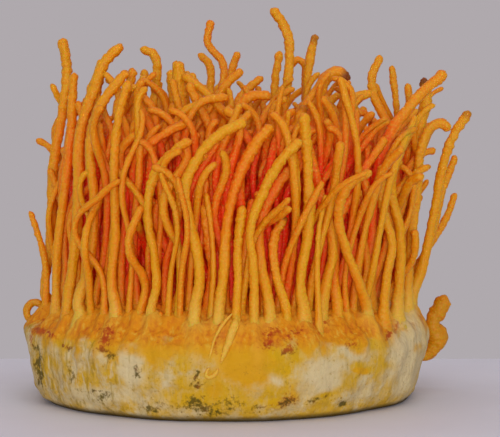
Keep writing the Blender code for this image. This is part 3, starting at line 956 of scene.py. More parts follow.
def cake_material(groups):
    """The cake: cream mycelium over grain, with patches of many colours, and the orange mat on top."""
    material, tree, shader, place = new_material(
        "mycelium_cake", 0.8, Subsurface_Weight=0.08, Subsurface_Scale=0.002,
        Subsurface_Radius=(1.0, 0.6, 0.3), Specular_IOR_Level=0.25,
    )
    grain = place_group(tree, groups["grain"], Place=place, Grain_Size=0.0009, Mottle_Size=0.006)
    inside = place_group(tree, groups["inside"], Place=place, Reach=0.011)["Inside"]
    masks = {}
    for name, (size, raggedness, softness) in PATCH_EDGES.items():
        masks[name] = place_group(
            tree, groups["edge"], Place=place, Mask=attribute(tree, name), Edge_Size=size,
            Raggedness=raggedness, Softness=softness,
        )["Patch"]
    x, _, height = split(tree, place)
    speckle = cloudy(tree, place, SPECKLES, detail=3.0, roughness=0.7)
    streaks = cloudy(tree, stretched(tree, place, (1.0, 1.0, 0.14)), CAKE_STREAKS)

    stain = slide(tree, cloudy(tree, place, STAINS, detail=4.0, roughness=0.7), 0.40, 0.60)
    at_left = slide(tree, x, *LEFT_STREAKS, 0.25, 1.0)
    mat = layered(
        tree,
        MAT_ORANGE,
        (slide(tree, streaks, 0.55, 0.36, 0.0, 0.8), MAT_SHADE),
        (slide(tree, streaks, 0.56, 0.7, 0.0, 0.7), FLESH_PALE),
    )
    growth = blend_colour(tree, slide(tree, height, *MAT_EDGE), MYCELIUM_ORANGE, mat)
    root = blend_colour(tree, attribute(tree, "root_pale"), MAT_ORANGE, FLESH_PALE)
    brown = layered(
        tree,
        MYCELIUM_OLIVE,
        (slide(tree, grain["Tone"], 0.5, 0.66), GRAIN_BROWN_AND_PIT_SHADE),
        (slide(tree, height, *RED_GRAIN), GRAIN_RED),
    )
    # The layers of colour, from the lowest up.
    colour = layered(
        tree,
        MYCELIUM_CREAM,
        (slide(tree, grain["Tone"], 0.35, 0.62), MYCELIUM_WHITE),
        (times(tree, stain, 0.9), MYCELIUM_YELLOW),
        (slide(tree, speckle, 0.55, 0.72, 0.0, 0.7), MYCELIUM_YELLOW),
        (masks["white"], MYCELIUM_WHITE),
        (times(tree, masks["yellow"], slide(tree, grain["Tone"], 0.25, 0.6, 0.6, 1.0)), MYCELIUM_YELLOW),
        (slide(tree, speckle, 0.42, 0.28, 0.0, 0.55), YELLOW_SHADE),
        (times(tree, slide(tree, streaks, 0.55, 0.66, 0.0, 0.55), at_left), YELLOW_SHADE),
        (times(tree, slide(tree, streaks, 0.45, 0.34, 0.0, 0.7), at_left), MYCELIUM_WHITE),
        (masks["orange"], growth),
        (attribute(tree, "root"), root),
        (times(tree, masks["red"], 0.85), MAT_RED),
        (times(tree, masks["dark"], 0.9), brown),
        # Painted shadow: a dark line along the cake's bottom edge, where it meets the table.
        (slide(tree, height, *CONTACT_SHADOW_HEIGHTS, 0.9, 0.0), CONTACT_SHADOW),
        # Painted shade: red on the mat inside the bunch.
        (inside, INNER_SHADE_RED),
        # Painted shade: brown in the pits of the cake's grain.
        (slide(tree, grain["Height"], 0.0, -0.6, 0.0, 0.35), GRAIN_BROWN_AND_PIT_SHADE),
    )
    feed(tree, shader.inputs["Base Color"], colour)
    feed(tree, shader.inputs["Roughness"], slide(tree, grain["Tone"], 0.3, 0.7, 0.7, 0.92))
    height = plus(tree, grain["Height"], times(tree, streaks, 1.2))
    add_bump(tree, shader, height, distance=0.0003, strength=0.6)
    return material


def store_all(tree, flow, values):
    """Keeps these values on every point of a geometry. Each is its name, kind and source."""
    for name, kind, value in values:
        inputs = {"Geometry": flow, "Name": name, "Value": value}
        store = fed_node(tree, "GeometryNodeStoreNamedAttribute", inputs, data_type=kind, domain="POINT")
        flow = store.outputs["Geometry"]
    return flow


def stalk_tree():
    """The rule that grows stalks along curves: round tips, flared feet, swellings, wrinkles and furrows."""
    tree, given, result = new_group(
        "grown stalk",
        "GeometryNodeTree",
        (
            ("Curves", GEOMETRY, None),
            ("Rings", WHOLE, 150),
            ("Sides", WHOLE, 14),
            ("Tip Rings", WHOLE, 6),
            ("Tip Length", NUMBER, 0.0013),
            ("Foot Flare", NUMBER, 0.9),
            ("Foot Spread", NUMBER, 0.005),
            ("Club", NUMBER, 0.05),
            ("Swell", NUMBER, 0.24),
            ("Knobble", NUMBER, 0.22),
            ("Wrinkle", NUMBER, 0.36),
            ("Furrow", NUMBER, 0.26),
            ("First Number", WHOLE, 0),
            ("Lowest Tint", NUMBER, 0.1),
            ("Highest Tint", NUMBER, 1.0),
            ("Least Pale", NUMBER, 0.0),
            ("Most Pale", NUMBER, 0.7),
            ("Dark Tip", NUMBER, 0.0),
            ("Material", "NodeSocketMaterial", None),
        ),
        (("Stalks", GEOMETRY),),
    )

    def carried(name, kind="FLOAT"):
        """A value that was stored on the points."""
        inputs = {"Name": name}
        return fed_node(tree, "GeometryNodeInputNamedAttribute", inputs, data_type=kind).outputs["Attribute"]

    def chance(seed, low, high):
        """A value drawn at random for each stalk."""
        inputs = {2: low, 3: high, "ID": carried("stalk"), "Seed": seed}
        return fed_node(tree, "FunctionNodeRandomValue", inputs, data_type="FLOAT").outputs[1]

    inputs = {"Curve": given["Curves"], "Count": given["Rings"]}
    resampled = fed_node(tree, "GeometryNodeResampleCurve", inputs)
    index = new_node(tree, "GeometryNodeSplineParameter").outputs["Index"]
    length = new_node(tree, "GeometryNodeSplineLength").outputs["Length"]
    owner = new_node(tree, "GeometryNodeCurveOfPoint").outputs["Curve Index"]

    # Rings lie evenly along the stem, and round the tip as on a ball.
    stem_rings = minus(tree, minus(tree, given["Rings"], 1.0), given["Tip Rings"])
    turn = over(tree, minus(tree, index, stem_rings), given["Tip Rings"], clamped=True)
    turn = times(tree, turn, math.pi / 2)
    stem = over(tree, index, stem_rings, clamped=True)
    stem = times(tree, stem, minus(tree, length, given["Tip Length"]))
    along = plus(tree, stem, times(tree, calc(tree, "SINE", turn), given["Tip Length"]))
    cap = calc(tree, "MAXIMUM", calc(tree, "COSINE", turn), LAST_RING)
    inputs = {
        "Curves": given["Curves"],
        "Value": new_node(tree, "GeometryNodeInputRadius").outputs[0],
        "Length": along,
        "Curve Index": owner,
    }
    sample = fed_node(tree, "GeometryNodeSampleCurve", inputs, mode="LENGTH", data_type="FLOAT")
    stored = (
        ("along", "FLOAT", along),
        ("share", "FLOAT", over(tree, along, length)),
        ("girth", "FLOAT", sample.outputs["Value"]),
        ("cap", "FLOAT", cap),
        ("stalk", "FLOAT", plus(tree, owner, given["First Number"])),
    )
    flow = store_all(tree, resampled.outputs["Curve"], stored)
    inputs = {"Geometry": flow, "Position": sample.outputs["Position"]}
    spread = fed_node(tree, "GeometryNodeSetPosition", inputs)

    # The radius: flared at the foot, a little club-shaped above the middle.
    flare = calc(tree, "EXPONENT", over(tree, carried("along"), times(tree, given["Foot Spread"], -1.0)))
    flare = times(tree, flare, chance(FLARE_SEED, *FLARE_SHARES), given["Foot Flare"])
    club_start = slide(tree, carried("share"), *CLUB_WIDENS)
    club_end = slide(tree, carried("share"), *CLUB_NARROWS, 1.0, CLUB_AT_TIP)
    club = times(tree, club_start, club_end, given["Club"])
    shape = times(tree, plus(tree, flare, 1.0), plus(tree, club, 1.0))
    radius = times(tree, times(tree, carried("girth"), carried("cap")), shape)
    inputs = {"Resolution": given["Sides"], "Radius": 1.0}
    circle = fed_node(tree, "GeometryNodeCurvePrimitiveCircle", inputs)
    spoke = new_node(tree, "GeometryNodeInputPosition").outputs[0]
    inputs = {
        "Curve": spread.outputs["Geometry"],
        "Profile Curve": store_all(tree, circle.outputs["Curve"], (("spoke", "FLOAT_VECTOR", spoke),)),
        "Scale": radius,
        "Fill Caps": True,
    }
    tube = fed_node(tree, "GeometryNodeCurveToMesh", inputs)

    # What the material needs: a place on the skin, each stalk's own values, and how far a spot faces
    # outwards, which the material paints as lit.
    across = scaled(tree, carried("spoke", "FLOAT_VECTOR"), carried("girth"))
    skin = vector_calc(tree, "ADD", across, join(tree, 0.0, 0.0, carried("along")))
    skin = vector_calc(tree, "ADD", skin, scaled(tree, SKIN_SHIFT, carried("stalk")))
    spot = split(tree, new_node(tree, "GeometryNodeInputPosition").outputs[0])
    away = vector_calc(tree, "NORMALIZE", join(tree, spot[0], spot[1], 0.0))
    facing = new_node(tree, "GeometryNodeInputNormal").outputs[0]
    # At the sides and the tips, faces turned to the front or back count as facing out too, for the painted
    # light.
    at_sides = slide(tree, calc(tree, "ABSOLUTE", spot[0]), *SIDES_SHOWN, 0.0, 0.95)
    at_tips = slide(tree, spot[2], *TIPS_SHOWN, 0.0, 0.97)
    lengthways = calc(tree, "ABSOLUTE", split(tree, facing)[1])
    lengthways = times(tree, lengthways, calc(tree, "MAXIMUM", at_sides, at_tips))
    outward = calc(tree, "MAXIMUM", vector_calc(tree, "DOT_PRODUCT", facing, away), lengthways)
    stored = (
        ("skin", "FLOAT_VECTOR", skin),
        ("tint", "FLOAT", chance(TINT_SEED, given["Lowest Tint"], given["Highest Tint"])),
        ("pale", "FLOAT", chance(PALE_SEED, given["Least Pale"], given["Most Pale"])),
        ("outward", "FLOAT", outward),
        ("dark_tip", "FLOAT", given["Dark Tip"]),
    )
    flow = store_all(tree, tube.outputs["Mesh"], stored)

    # The unevenness, as a share of the stalk's thickness: how the skin is stretched, size, amount and where.
    skin = carried("skin", "FLOAT_VECTOR")
    upper = slide(tree, carried("share"), 0.35, 0.8, 0.35, 1.0)
    total = 0.0
    for shares, size, amount, where in (
        ((0.7, 0.7, 1.0), 0.0075, "Swell", None),
        (None, 0.0021, "Knobble", None),
        ((0.25, 0.25, 1.0), 0.0011, "Wrinkle", upper),
        ((1.0, 1.0, 0.08), 0.0014, "Furrow", None),
    ):
        place = stretched(tree, skin, shares) if shares else skin
        part = times(tree, minus(tree, cloudy(tree, place, size, detail=1.0), 0.5), given[amount])
        if where is not None:
            part = times(tree, part, where)
        total = plus(tree, total, part)
    total = times(tree, total, times(tree, carried("girth"), 2.0))
    push = scaled(tree, new_node(tree, "GeometryNodeInputNormal").outputs[0], total)
    shaped = fed_node(tree, "GeometryNodeSetPosition", {"Geometry": flow, "Offset": push})
    smooth = fed_node(tree, "GeometryNodeSetShadeSmooth", {"Geometry": shaped.outputs["Geometry"]})
    real = fed_node(tree, "GeometryNodeRealizeInstances", {"Geometry": smooth.outputs["Geometry"]})
    inputs = {"Geometry": real.outputs["Geometry"], "Material": given["Material"]}
    feed(tree, result["Stalks"], fed_node(tree, "GeometryNodeSetMaterial", inputs).outputs["Geometry"])
    return tree


def grow(name, host, tree, **values):
    """Runs a tree on a host object with these inputs and keeps the result as a plain mesh object."""
    bpy.context.scene.collection.objects.link(host)
    rule = host.modifiers.new("rule", "NODES")
    rule.node_group = tree
    sockets = {item.name: item.identifier for item in tree.interface.items_tree if item.in_out == "INPUT"}
    for label, value in values.items():
        rule[sockets[label.replace("_", " ")]] = value
    graph = bpy.context.evaluated_depsgraph_get()
    mesh = bpy.data.meshes.new_from_object(host.evaluated_get(graph))
    mesh.name = name
    bpy.data.objects.remove(host, do_unlink=True)
    for spare in ("along", "girth", "cap", "stalk", "spoke"):
        if spare in mesh.attributes:
            mesh.attributes.remove(mesh.attributes[spare])
    piece = bpy.data.objects.new(name, mesh)
    bpy.context.scene.collection.objects.link(piece)
    return piece


def smooth_curves(name, routes):
    """Smooth curves along the routes. A route is its points and one radius, or one for each point."""
    curve = bpy.data.curves.new(name, "CURVE")
    curve.dimensions = "3D"
    for points, radius in routes:
        spline = curve.splines.new("BEZIER")
        spline.bezier_points.add(len(points) - 1)
        spline.resolution_u = CURVE_STEPS
        radii = radius if isinstance(radius, (list, tuple)) else [radius] * len(points)
        for place, spot, size in zip(spline.bezier_points, points, radii):
            place.co = Vector(spot) * MM
            place.radius = size * MM
            place.handle_left_type = "AUTO"
            place.handle_right_type = "AUTO"
    return bpy.data.objects.new(name, curve)


def rooted(points, depth):
    """The same route, reaching further down into the mat."""
    longer = np.array(points)
    longer[0, 2] -= depth
    return longer


# The cake's colour patches, as seen from the front: x, z, half width, half height and strength.
ORANGE_PATCHES = (
    (-28.5, 22, 5.0, 3.5, 0.9),
    (-17, 20.5, 10, 4.5, 1.0),
    (-18.7, 18.5, 3.4, 3.4, 1.2),
    (-6, 21, 9, 4.0, 0.9),
    (4.5, 18.5, 9.0, 8.5, 1.3),
    (8, 13.0, 6.0, 5.0, 0.9),
    (-2.5, 9.5, 3.0, 3.0, 0.7),
    (17, 24.5, 7.0, 3.5, 1.0),
    (35, 24, 6.0, 3.0, 1.1),
    (27, 20.5, 4.0, 2.4, 0.7),
    (-32, 20.5, 3.5, 3.5, 0.9),
    (-50, 23.5, 5, 2.4, 1.0),
    (36.5, 12.3, 1.8, 1.3, 1.4),
    (36.6, 19.6, 1.1, 0.9, 0.8),
    (55, 16, 2.4, 2.0, 0.6),
    (19, 9.0, 2.2, 1.8, 0.6),
)
YELLOW_PATCHES = (
    (-47, 20, 7, 3.5, 0.8),
    (-51, 13, 4.5, 6.0, 0.9),
    (-44.5, 12, 2.0, 3.5, 0.7),
    (-36, 20.5, 3.5, 2.5, 0.8),
    (-36, 14, 3, 4, 0.5),
    (-12.2, 18.5, 2.6, 5.5, 1.1),
    (-18.5, 11.5, 2.0, 4.5, 0.6),
    (-9, 11.5, 4, 3.0, 0.8),
    (-12, 6.0, 8, 2.8, 1.0),
    (0, 6.5, 10, 4.5, 1.2),
    (14.5, 17.5, 7.5, 5.5, 1.2),
    (14, 7.0, 6, 3.5, 1.0),
    (20, 23.5, 4, 3.0, 0.9),
    (27, 6.0, 4.0, 1.6, 0.9),
    (36.5, 13.5, 5.0, 3.5, 0.8),
    (34.5, 10.0, 2.6, 2.6, 0.9),
    (42.5, 20, 2.6, 3.5, 1.0),
    (43.5, 15.5, 2.2, 3.6, 1.0),
    (49.5, 21.0, 1.6, 2.4, 0.6),
)
WHITE_PATCHES = (
    (-25.5, 15, 3.2, 7.5, 1.2),
    (-43.5, 17.0, 1.5, 2.2, 1.0),
    (-17, 5.0, 4.0, 3.0, 0.7),
    (-36, 5.0, 9.0, 3.2, 0.9),
    (-15.2, 10.7, 1.4, 1.6, 0.9),
    (11.7, 11.2, 2.2, 1.5, 1.3),
    (26.5, 12.5, 6.5, 5.5, 1.2),
    (36, 18.6, 5.5, 2.6, 1.0),
    (52, 14, 7.0, 12.0, 1.2),
    (51, 26, 3, 5.0, 1.0),
    (37, 6.5, 4.0, 2.5, 0.7),
)
DARK_PATCHES = (
    (-53.2, 12.6, 1.6, 4.0, 0.85),
    (-53.2, 8.0, 1.3, 2.4, 0.95),
    (-54.6, 16.5, 1.0, 2.5, 0.7),
    (-42.0, 11.0, 1.6, 3.0, 0.55),
    (-24.0, 13.5, 1.2, 1.4, 0.55),
    (-20.5, 3.8, 5.0, 1.2, 0.6),
    (-43.8, 19.0, 1.2, 1.3, 0.8),
    (-50, 21.5, 2.4, 1.0, 0.6),
    (-32, 22.5, 2.4, 2.0, 0.8),
    (-31.5, 19.0, 2.4, 1.2, 0.75),
    (-7.3, 13, 0.7, 2.4, 0.9),
    (-6.8, 10.5, 1.2, 0.8, 0.7),
    (-8.5, 5.2, 3.2, 2.0, 0.85),
    (-5, 3.5, 9, 1.8, 0.6),
    (-36, 6.8, 4, 0.5, 0.75),
    (-33.5, 4.8, 1.2, 1.8, 0.6),
    (1.5, 6.0, 5.0, 2.0, 0.5),
    (18, 20.0, 1.8, 1.3, 0.85),
    (12, 22.0, 2.4, 2.4, 0.6),
    (19, 24.0, 1.8, 2.4, 0.6),
    (26.5, 26.0, 2.4, 2.4, 0.6),
    (16.8, 6.4, 1.8, 2.2, 0.6),
    (31.5, 4.2, 1.6, 1.1, 1.0),
    (24, 5.4, 3.5, 1.0, 0.6),
    (9, 4.0, 4.0, 1.5, 0.5),
    (45.5, 20.5, 1.0, 1.2, 0.8),
    (36.0, 20.5, 2.4, 1.6, 0.5),
)
RED_PATCHES = (
    # The first three are painted shadow under the rim's overhang, below the rim curl.
    (-53.0, 21.4, 4.4, 1.5, 1.0),
    (-56.0, 19.0, 1.2, 1.8, 0.7),
    (-50.5, 21.6, 2.6, 0.9, 0.6),
    (-32.0, 21.5, 2.2, 3.2, 0.55),
    (-39.0, 22.5, 1.6, 1.2, 0.4),
    (14.0, 22.6, 3.0, 1.4, 0.55),
    (47.5, 23.0, 1.6, 2.2, 0.5),
    (16.8, 6.8, 2.2, 2.6, 0.65),
)
PATCHES = {
    "orange": ORANGE_PATCHES,
    "yellow": YELLOW_PATCHES,
    "white": WHITE_PATCHES,
    "red": RED_PATCHES,
    "dark": DARK_PATCHES,
}

# Strands and folds of the front wall: their colour, how far they stand out, the (x, z) where they start and
# end, and their half width.
WALL_STRANDS = (
    ("white", 0.9, (-39.4, 27.0), (-40.2, 19.0), 1.1),
    ("orange", 0.8, (-40.0, 21.0), (-40.8, 9.0), 0.7),
    ("white", 0.7, (-48.5, 20.0), (-44.5, 5.0), 1.9),
    ("orange", 0.4, (-30.4, 18.0), (-31.0, 11.5), 0.5),
    ("orange", 0.4, (-28.6, 17.5), (-29.4, 13.0), 0.4),
    ("white", 0.5, (-19.8, 25.0), (-19.6, 19.0), 1.0),
    ("white", 0.9, (-8.2, 26.0), (-7.0, 17.0), 1.5),
    ("white", 0.5, (14.0, 25.0), (13.6, 19.5), 1.0),
    ("yellow", 0.7, (21.2, 26.0), (22.6, 17.0), 1.1),
    ("orange", 0.5, (25.0, 26.0), (25.3, 17.5), 0.6),
    ("white", 0.8, (39.2, 26.0), (38.6, 20.5), 1.6),
    ("yellow", -0.5, (45.0, 22.0), (39.0, 12.0), 1.6),
    ("white", 1.0, (53.5, 22.0), (42.0, 4.0), 2.8),
    ("orange", 0.8, (36.4, 20.2), (37.2, 19.6), 1.4),
    ("orange", 0.5, (36.3, 12.5), (36.9, 12.1), 1.3),
    ("red", -0.7, (0.2, 28.6), (-2.6, 19.0), 0.9),
    ("white", 1.0, (3.0, 27.0), (0.2, 20.5), 0.9),
)

# Stalks that lie against the front of the wall: their (x, z) bends, each with its radius there.
LYING_STALKS = (
    ((2.4, 29.6, 0.15), (0.4, 27.4, 0.4), (-1.7, 24.4, 0.45), (-3.1, 21.0, 0.4), (-3.9, 17.6, 0.2)),
    ((3.4, 28.8, 0.3), (2.8, 26.4, 1.05), (1.6, 23.0, 1.1), (0.3, 19.8, 0.85), (-0.9, 16.4, 0.3)),
    (
        (-1.6, 15.0, 0.2),
        (-2.2, 13.8, 0.45),
        (-3.3, 12.9, 0.5),
        (-4.6, 12.9, 0.45),
        (-4.6, 14.3, 0.35),
        (-3.7, 15.4, 0.2),
    ),
)
# Their middles lie this share of their radius in front of the skin, and above the mat no deeper than this.
LYING_PROUD = 0.1
LYING_DEEPEST = -54.6

# The patches of the cake's back, drawn at random: how many, and between which half widths and half heights.
# Then how far past the sides they go, in radians, and between which heights and strengths they lie.
BACK_PATCHES = {
    "orange": (16, (2, 9), (2, 5)),
    "yellow": (26, (2, 8), (2, 6)),
    "white": (16, (3, 9), (3, 7)),
    "red": (0, (2, 3), (1, 2)),
    "dark": (26, (1, 3), (0.8, 2.6)),
}
BACK_OVERLAP = 0.25
BACK_HEIGHTS = (2, 21)
BACK_STRENGTHS = (0.7, 1.0)

# Where the front's patches and strands end, and over how much depth they fade.
FRONT_ENDS = 8.0
FRONT_FADE = 12.0

# How much of a strand is lost at its lower end, how strongly it is coloured, and from which radius on it
# stands out, and over how much of the radius that grows.
STRAND_FADE = 0.6
STRAND_COLOUR = 0.9
STRAND_FROM = 50.0
STRAND_START = 3.0

# Where the wall bulges or is cut back: which way from the middle in degrees, height, half width, half height
# and size.
WALL_BULGES = (
    (186, 20.5, 9.0, 3.6, 1.9),
    (204, 18.0, 9.0, 4.0, 0.6),
    (352, 7.5, 15.0, 5.0, -1.5),
    (348, 19.0, 9.0, 5.0, 0.5),
)

# How finely the shown cake is divided: round it, down its wall and over its top. The wall is what lies
# outside this radius or below this height. Then the rings of the underside, the height below which all
# belongs to it, and the radius inside which the top has no rings.
CAKE_AROUND = 480
CAKE_WALL_STEP = 0.42
CAKE_TOP_STEP = 1.1
WALL_FROM_RADIUS = 45
WALL_BELOW = 20
UNDERSIDE_RINGS = (12.0, 30.0, 44.0, 50.0, 52.3)
UNDERSIDE_TOP = 0.01
SMALLEST_RING = 1.0

# The corners of the outline are rounded outside this radius, in this many rounds.
SOFT_FROM_RADIUS = 44
SOFT_ROUNDS = 3

# The unevenness of the cake's skin: the size of the grains under the felt, their height, how much of it the
# mat covers, the size of the granules, their height on the wall and how much higher the mat's are, and the
# level at which both are even with the skin. Then the size and height of broad, small and tiny lumps, and of
# upright folds.
GRAIN_SIZE = 5.2
GRAIN_HEIGHT = 0.55
GRAIN_COVERED = 0.6
GRANULE_SIZE = 1.5
GRANULE_HEIGHTS = (0.05, 0.65)
GRAIN_LEVEL = 0.30
BROAD_LUMPS = (8.0, 0.7)
SMALL_LUMPS = (2.8, 0.24)
TINY_LUMPS = (1.0, 0.06)
FOLD_WIDTH = 3.4
FOLD_LENGTH = 16.0
FOLD_HEIGHT = 0.55
# Each noise is shifted, so that no two look alike.
GRANULE_SHIFT = Vector((9, 4, 2))
SMALL_SHIFT = Vector((3, 7, 1))
TINY_SHIFT = Vector((5, 1, 8))
FOLD_SHIFT = Vector((6, 2, 9))

# Near the table the unevenness fades down to this share. The lumps start at this share of the foot's radius,
# over how much of the radius.
LOW_FADE = 2.5
LOW_SHARE = 0.15
LUMPY_FROM = 0.9
LUMPS_START = 4.0

# The heights at which the mat's granules, its growth and its colour start, and over how much height they do.
# Then the height above which a foot colours the mat, how far out, and how strongly a ridge is coloured.
MAT_GRANULES = (18.5, 3.0)
MAT_GROWTH = (18.8, 2.6)
MAT_COLOUR = (18.0, 4.0)
ROOTS_ABOVE = 18.5
ROOT_REACH = 1.1
RIDGE_COLOUR = 0.6

# How far the patches' edges wander sideways and in height, and the edge of the mat's colour: the size of the
# waves, how far, and the shift that keeps the three apart.
WANDER_SIDEWAYS = (4.5, 3.0, 11.0)
WANDER_IN_HEIGHT = (4.5, 2.4, 23.0)
WANDER_OF_MAT = (5.0, 4.5, 37.0)

# Where the mat's colour is paler: the (x, y) of the middle, the half widths and how much.
PALE_SIDE = (52, -20)
PALE_SIDE_WIDTHS = (9, 22)
PALE_SIDE_SHARE = 0.75


def cake_rows():
    """The (radius, height) of the rows of the cake's skin, from its underside's middle to its top's."""
    outline = np.array(CAKE_OUTLINE[::-1])
    rows = [(radius, 0.0) for radius in UNDERSIDE_RINGS]
    for (r0, z0), (r1, z1) in zip(outline[1:], outline[2:]):
        length = math.hypot(r1 - r0, z1 - z0)
        step = CAKE_WALL_STEP if r0 > WALL_FROM_RADIUS or z0 < WALL_BELOW else CAKE_TOP_STEP
        count = max(1, round(length / step))
        for number in range(count):
            share = number / count
            rows.append((r0 + (r1 - r0) * share, z0 + (z1 - z0) * share))
    return np.array([row for row in rows if row[0] > SMALLEST_RING])


def soften(rows):
    """Rounds the corners of the outline between its flat underside and its middle."""
    for _ in range(SOFT_ROUNDS):
        middle = rows[1:-1] * 0.5 + (rows[:-2] + rows[2:]) * 0.25
        keep = (rows[1:-1, 1] < UNDERSIDE_TOP) | (rows[1:-1, 0] < SOFT_FROM_RADIUS)
        rows[1:-1] = np.where(keep[:, None], rows[1:-1], middle)
    return rows


def wandering(x, y, z, size, amount, shift):
    """A smooth random push for each spot."""
    spots = np.stack((x, y, z), axis=-1) / size + shift
    return amount * np.array([noise.noise(Vector(spot)) for spot in spots])


def risen(value, start, fade):
    """From 0 at the start to 1 once the value has passed it by the fade."""
    return np.clip((value - start) / fade, 0, 1)


def in_front(y):
    """How far each spot belongs to the cake's front."""
    return np.clip((FRONT_ENDS - y) / FRONT_FADE, 0, 1)


def turn_from(angle, middle):
    """How far round the cake each angle lies from the middle one, at most half a turn to either side."""
    return np.mod(angle - middle + math.pi, 2 * math.pi) - math.pi


def mound(across, wide, along, high):
    """A round soft mound, 1 in its middle."""
    return np.exp(-((across / wide) ** 2 + (along / high) ** 2))


def patch_values(name, x, y, z):
    """How strongly each spot of the cake lies in the patches of one kind."""
    value = np.zeros_like(x)
    front = in_front(y)
    for middle_x, middle_z, wide, high, strength in PATCHES[name]:
        spot = strength * mound(x - middle_x, wide, z - middle_z, high)
        value = np.maximum(value, spot * front)
    draw = random.Random(f"back {name}")
    count, widths, heights = BACK_PATCHES[name]
    angle = np.arctan2(y, x)
    for _ in range(count):
        turn = draw.uniform(-BACK_OVERLAP, math.pi + BACK_OVERLAP)
        middle_z = draw.uniform(*BACK_HEIGHTS)
        wide, high = draw.uniform(*widths), draw.uniform(*heights)
        strength = draw.uniform(*BACK_STRENGTHS)
        spot = strength * mound(turn_from(angle, turn) * CAKE_RADIUS, wide, z - middle_z, high)
        value = np.maximum(value, spot * (1 - front))
    return value


def wall_ridges(angle, row_r, row_z, feet):
    """The ridges that run from the feet at the rim down the wall: how high each spot is, and how pale."""
    draw = random.Random(RIDGE_SEED)
    strength = np.zeros_like(angle)
    paleness = np.zeros_like(angle)
    for foot_x, foot_y, foot_radius, pale in feet:
        out = math.hypot(foot_x, foot_y)
        end = draw.uniform(*RIDGE_ENDS)
        height = draw.uniform(*RIDGE_HEIGHTS)
        if out < RIDGE_FROM_RADIUS:
            continue
        turn = turn_from(angle, math.atan2(foot_y, foot_x))
        across = np.exp(-((turn * CAKE_RADIUS / (foot_radius * RIDGE_WIDTH)) ** 2))
        down = risen(row_z, end, RIDGE_END_FADE)
        down = down * np.clip((row_r - out + RIDGE_START) / RIDGE_START_FADE, 0, 1)
        ridge = across * down * height
        paleness = np.where(ridge > strength, pale, paleness)
        strength = np.maximum(strength, ridge)
    return strength, paleness


def wall_strand(x, y, z, start, end, half_width):
    """How strongly each spot of the front lies on a strand between two (x, z) points."""
    along = np.subtract(end, start)
    share = np.clip(((x - start[0]) * along[0] + (z - start[1]) * along[1]) / (along @ along), 0, 1)
    gap = np.hypot(x - start[0] - share * along[0], z - start[1] - share * along[1])
    return np.exp(-((gap / half_width) ** 2)) * in_front(y) * (1 - STRAND_FADE * share)


def unevenness(x, y, z):
    """How far the skin stands out at each spot, and how far a strand strays there."""
    lift = np.zeros_like(x)
    stray = np.zeros_like(x)
    mat = risen(z, *MAT_GRANULES)
    for number in np.flatnonzero(z >= UNDERSIDE_TOP):
        spot = Vector((x[number], y[number], z[number]))
        grain = noise.voronoi(spot / GRAIN_SIZE)[0][0]
        granule = noise.voronoi(spot / GRANULE_SIZE + GRANULE_SHIFT)[0][0]
        broad = noise.noise(spot / BROAD_LUMPS[0])
        small = noise.noise(spot / SMALL_LUMPS[0] + SMALL_SHIFT)
        tiny = noise.noise(spot / TINY_LUMPS[0] + TINY_SHIFT)
        drawn_out = Vector((spot.x / FOLD_WIDTH, spot.y / FOLD_WIDTH, spot.z / FOLD_LENGTH))
        fold = noise.noise(drawn_out + FOLD_SHIFT)
        grains = (GRAIN_LEVEL - grain * grain) * GRAIN_HEIGHT * (1 - GRAIN_COVERED * mat[number])
        granule_height = GRANULE_HEIGHTS[0] + GRANULE_HEIGHTS[1] * mat[number]
        granules = (GRAIN_LEVEL - granule * granule) * granule_height
        lumps = (broad * BROAD_LUMPS[1], small * SMALL_LUMPS[1], tiny * TINY_LUMPS[1], fold * FOLD_HEIGHT)
        lift[number] = grains + granules + lumps[0] + lumps[1] + lumps[2] + lumps[3]
        stray[number] = small
    return lift, stray


def cake_faces(row_count):
    """The faces between the rows of the cake's skin, and those round the middles of top and underside."""
    middle = row_count * CAKE_AROUND
    last = middle - CAKE_AROUND
    steps = [(step, (step + 1) % CAKE_AROUND) for step in range(CAKE_AROUND)]
    faces = []
    for start in range(0, last, CAKE_AROUND):
        above = start + CAKE_AROUND
        faces += [(start + step, start + after, above + after, above + step) for step, after in steps]
    for step, after in steps:
        faces += [(last + step, last + after, middle), (after, step, middle + 1)]
    return faces


def paint(mesh, name, values):
    """Gives every point of a mesh its value of this name."""
    made = mesh.attributes.new(name, "FLOAT", "POINT")
    made.data.foreach_set("value", values.astype(np.float32))


def with_middles(values):
    """The values of the rows one after the other, and nothing for the middles of top and underside."""
    return np.append(values.ravel(), (0.0, 0.0))


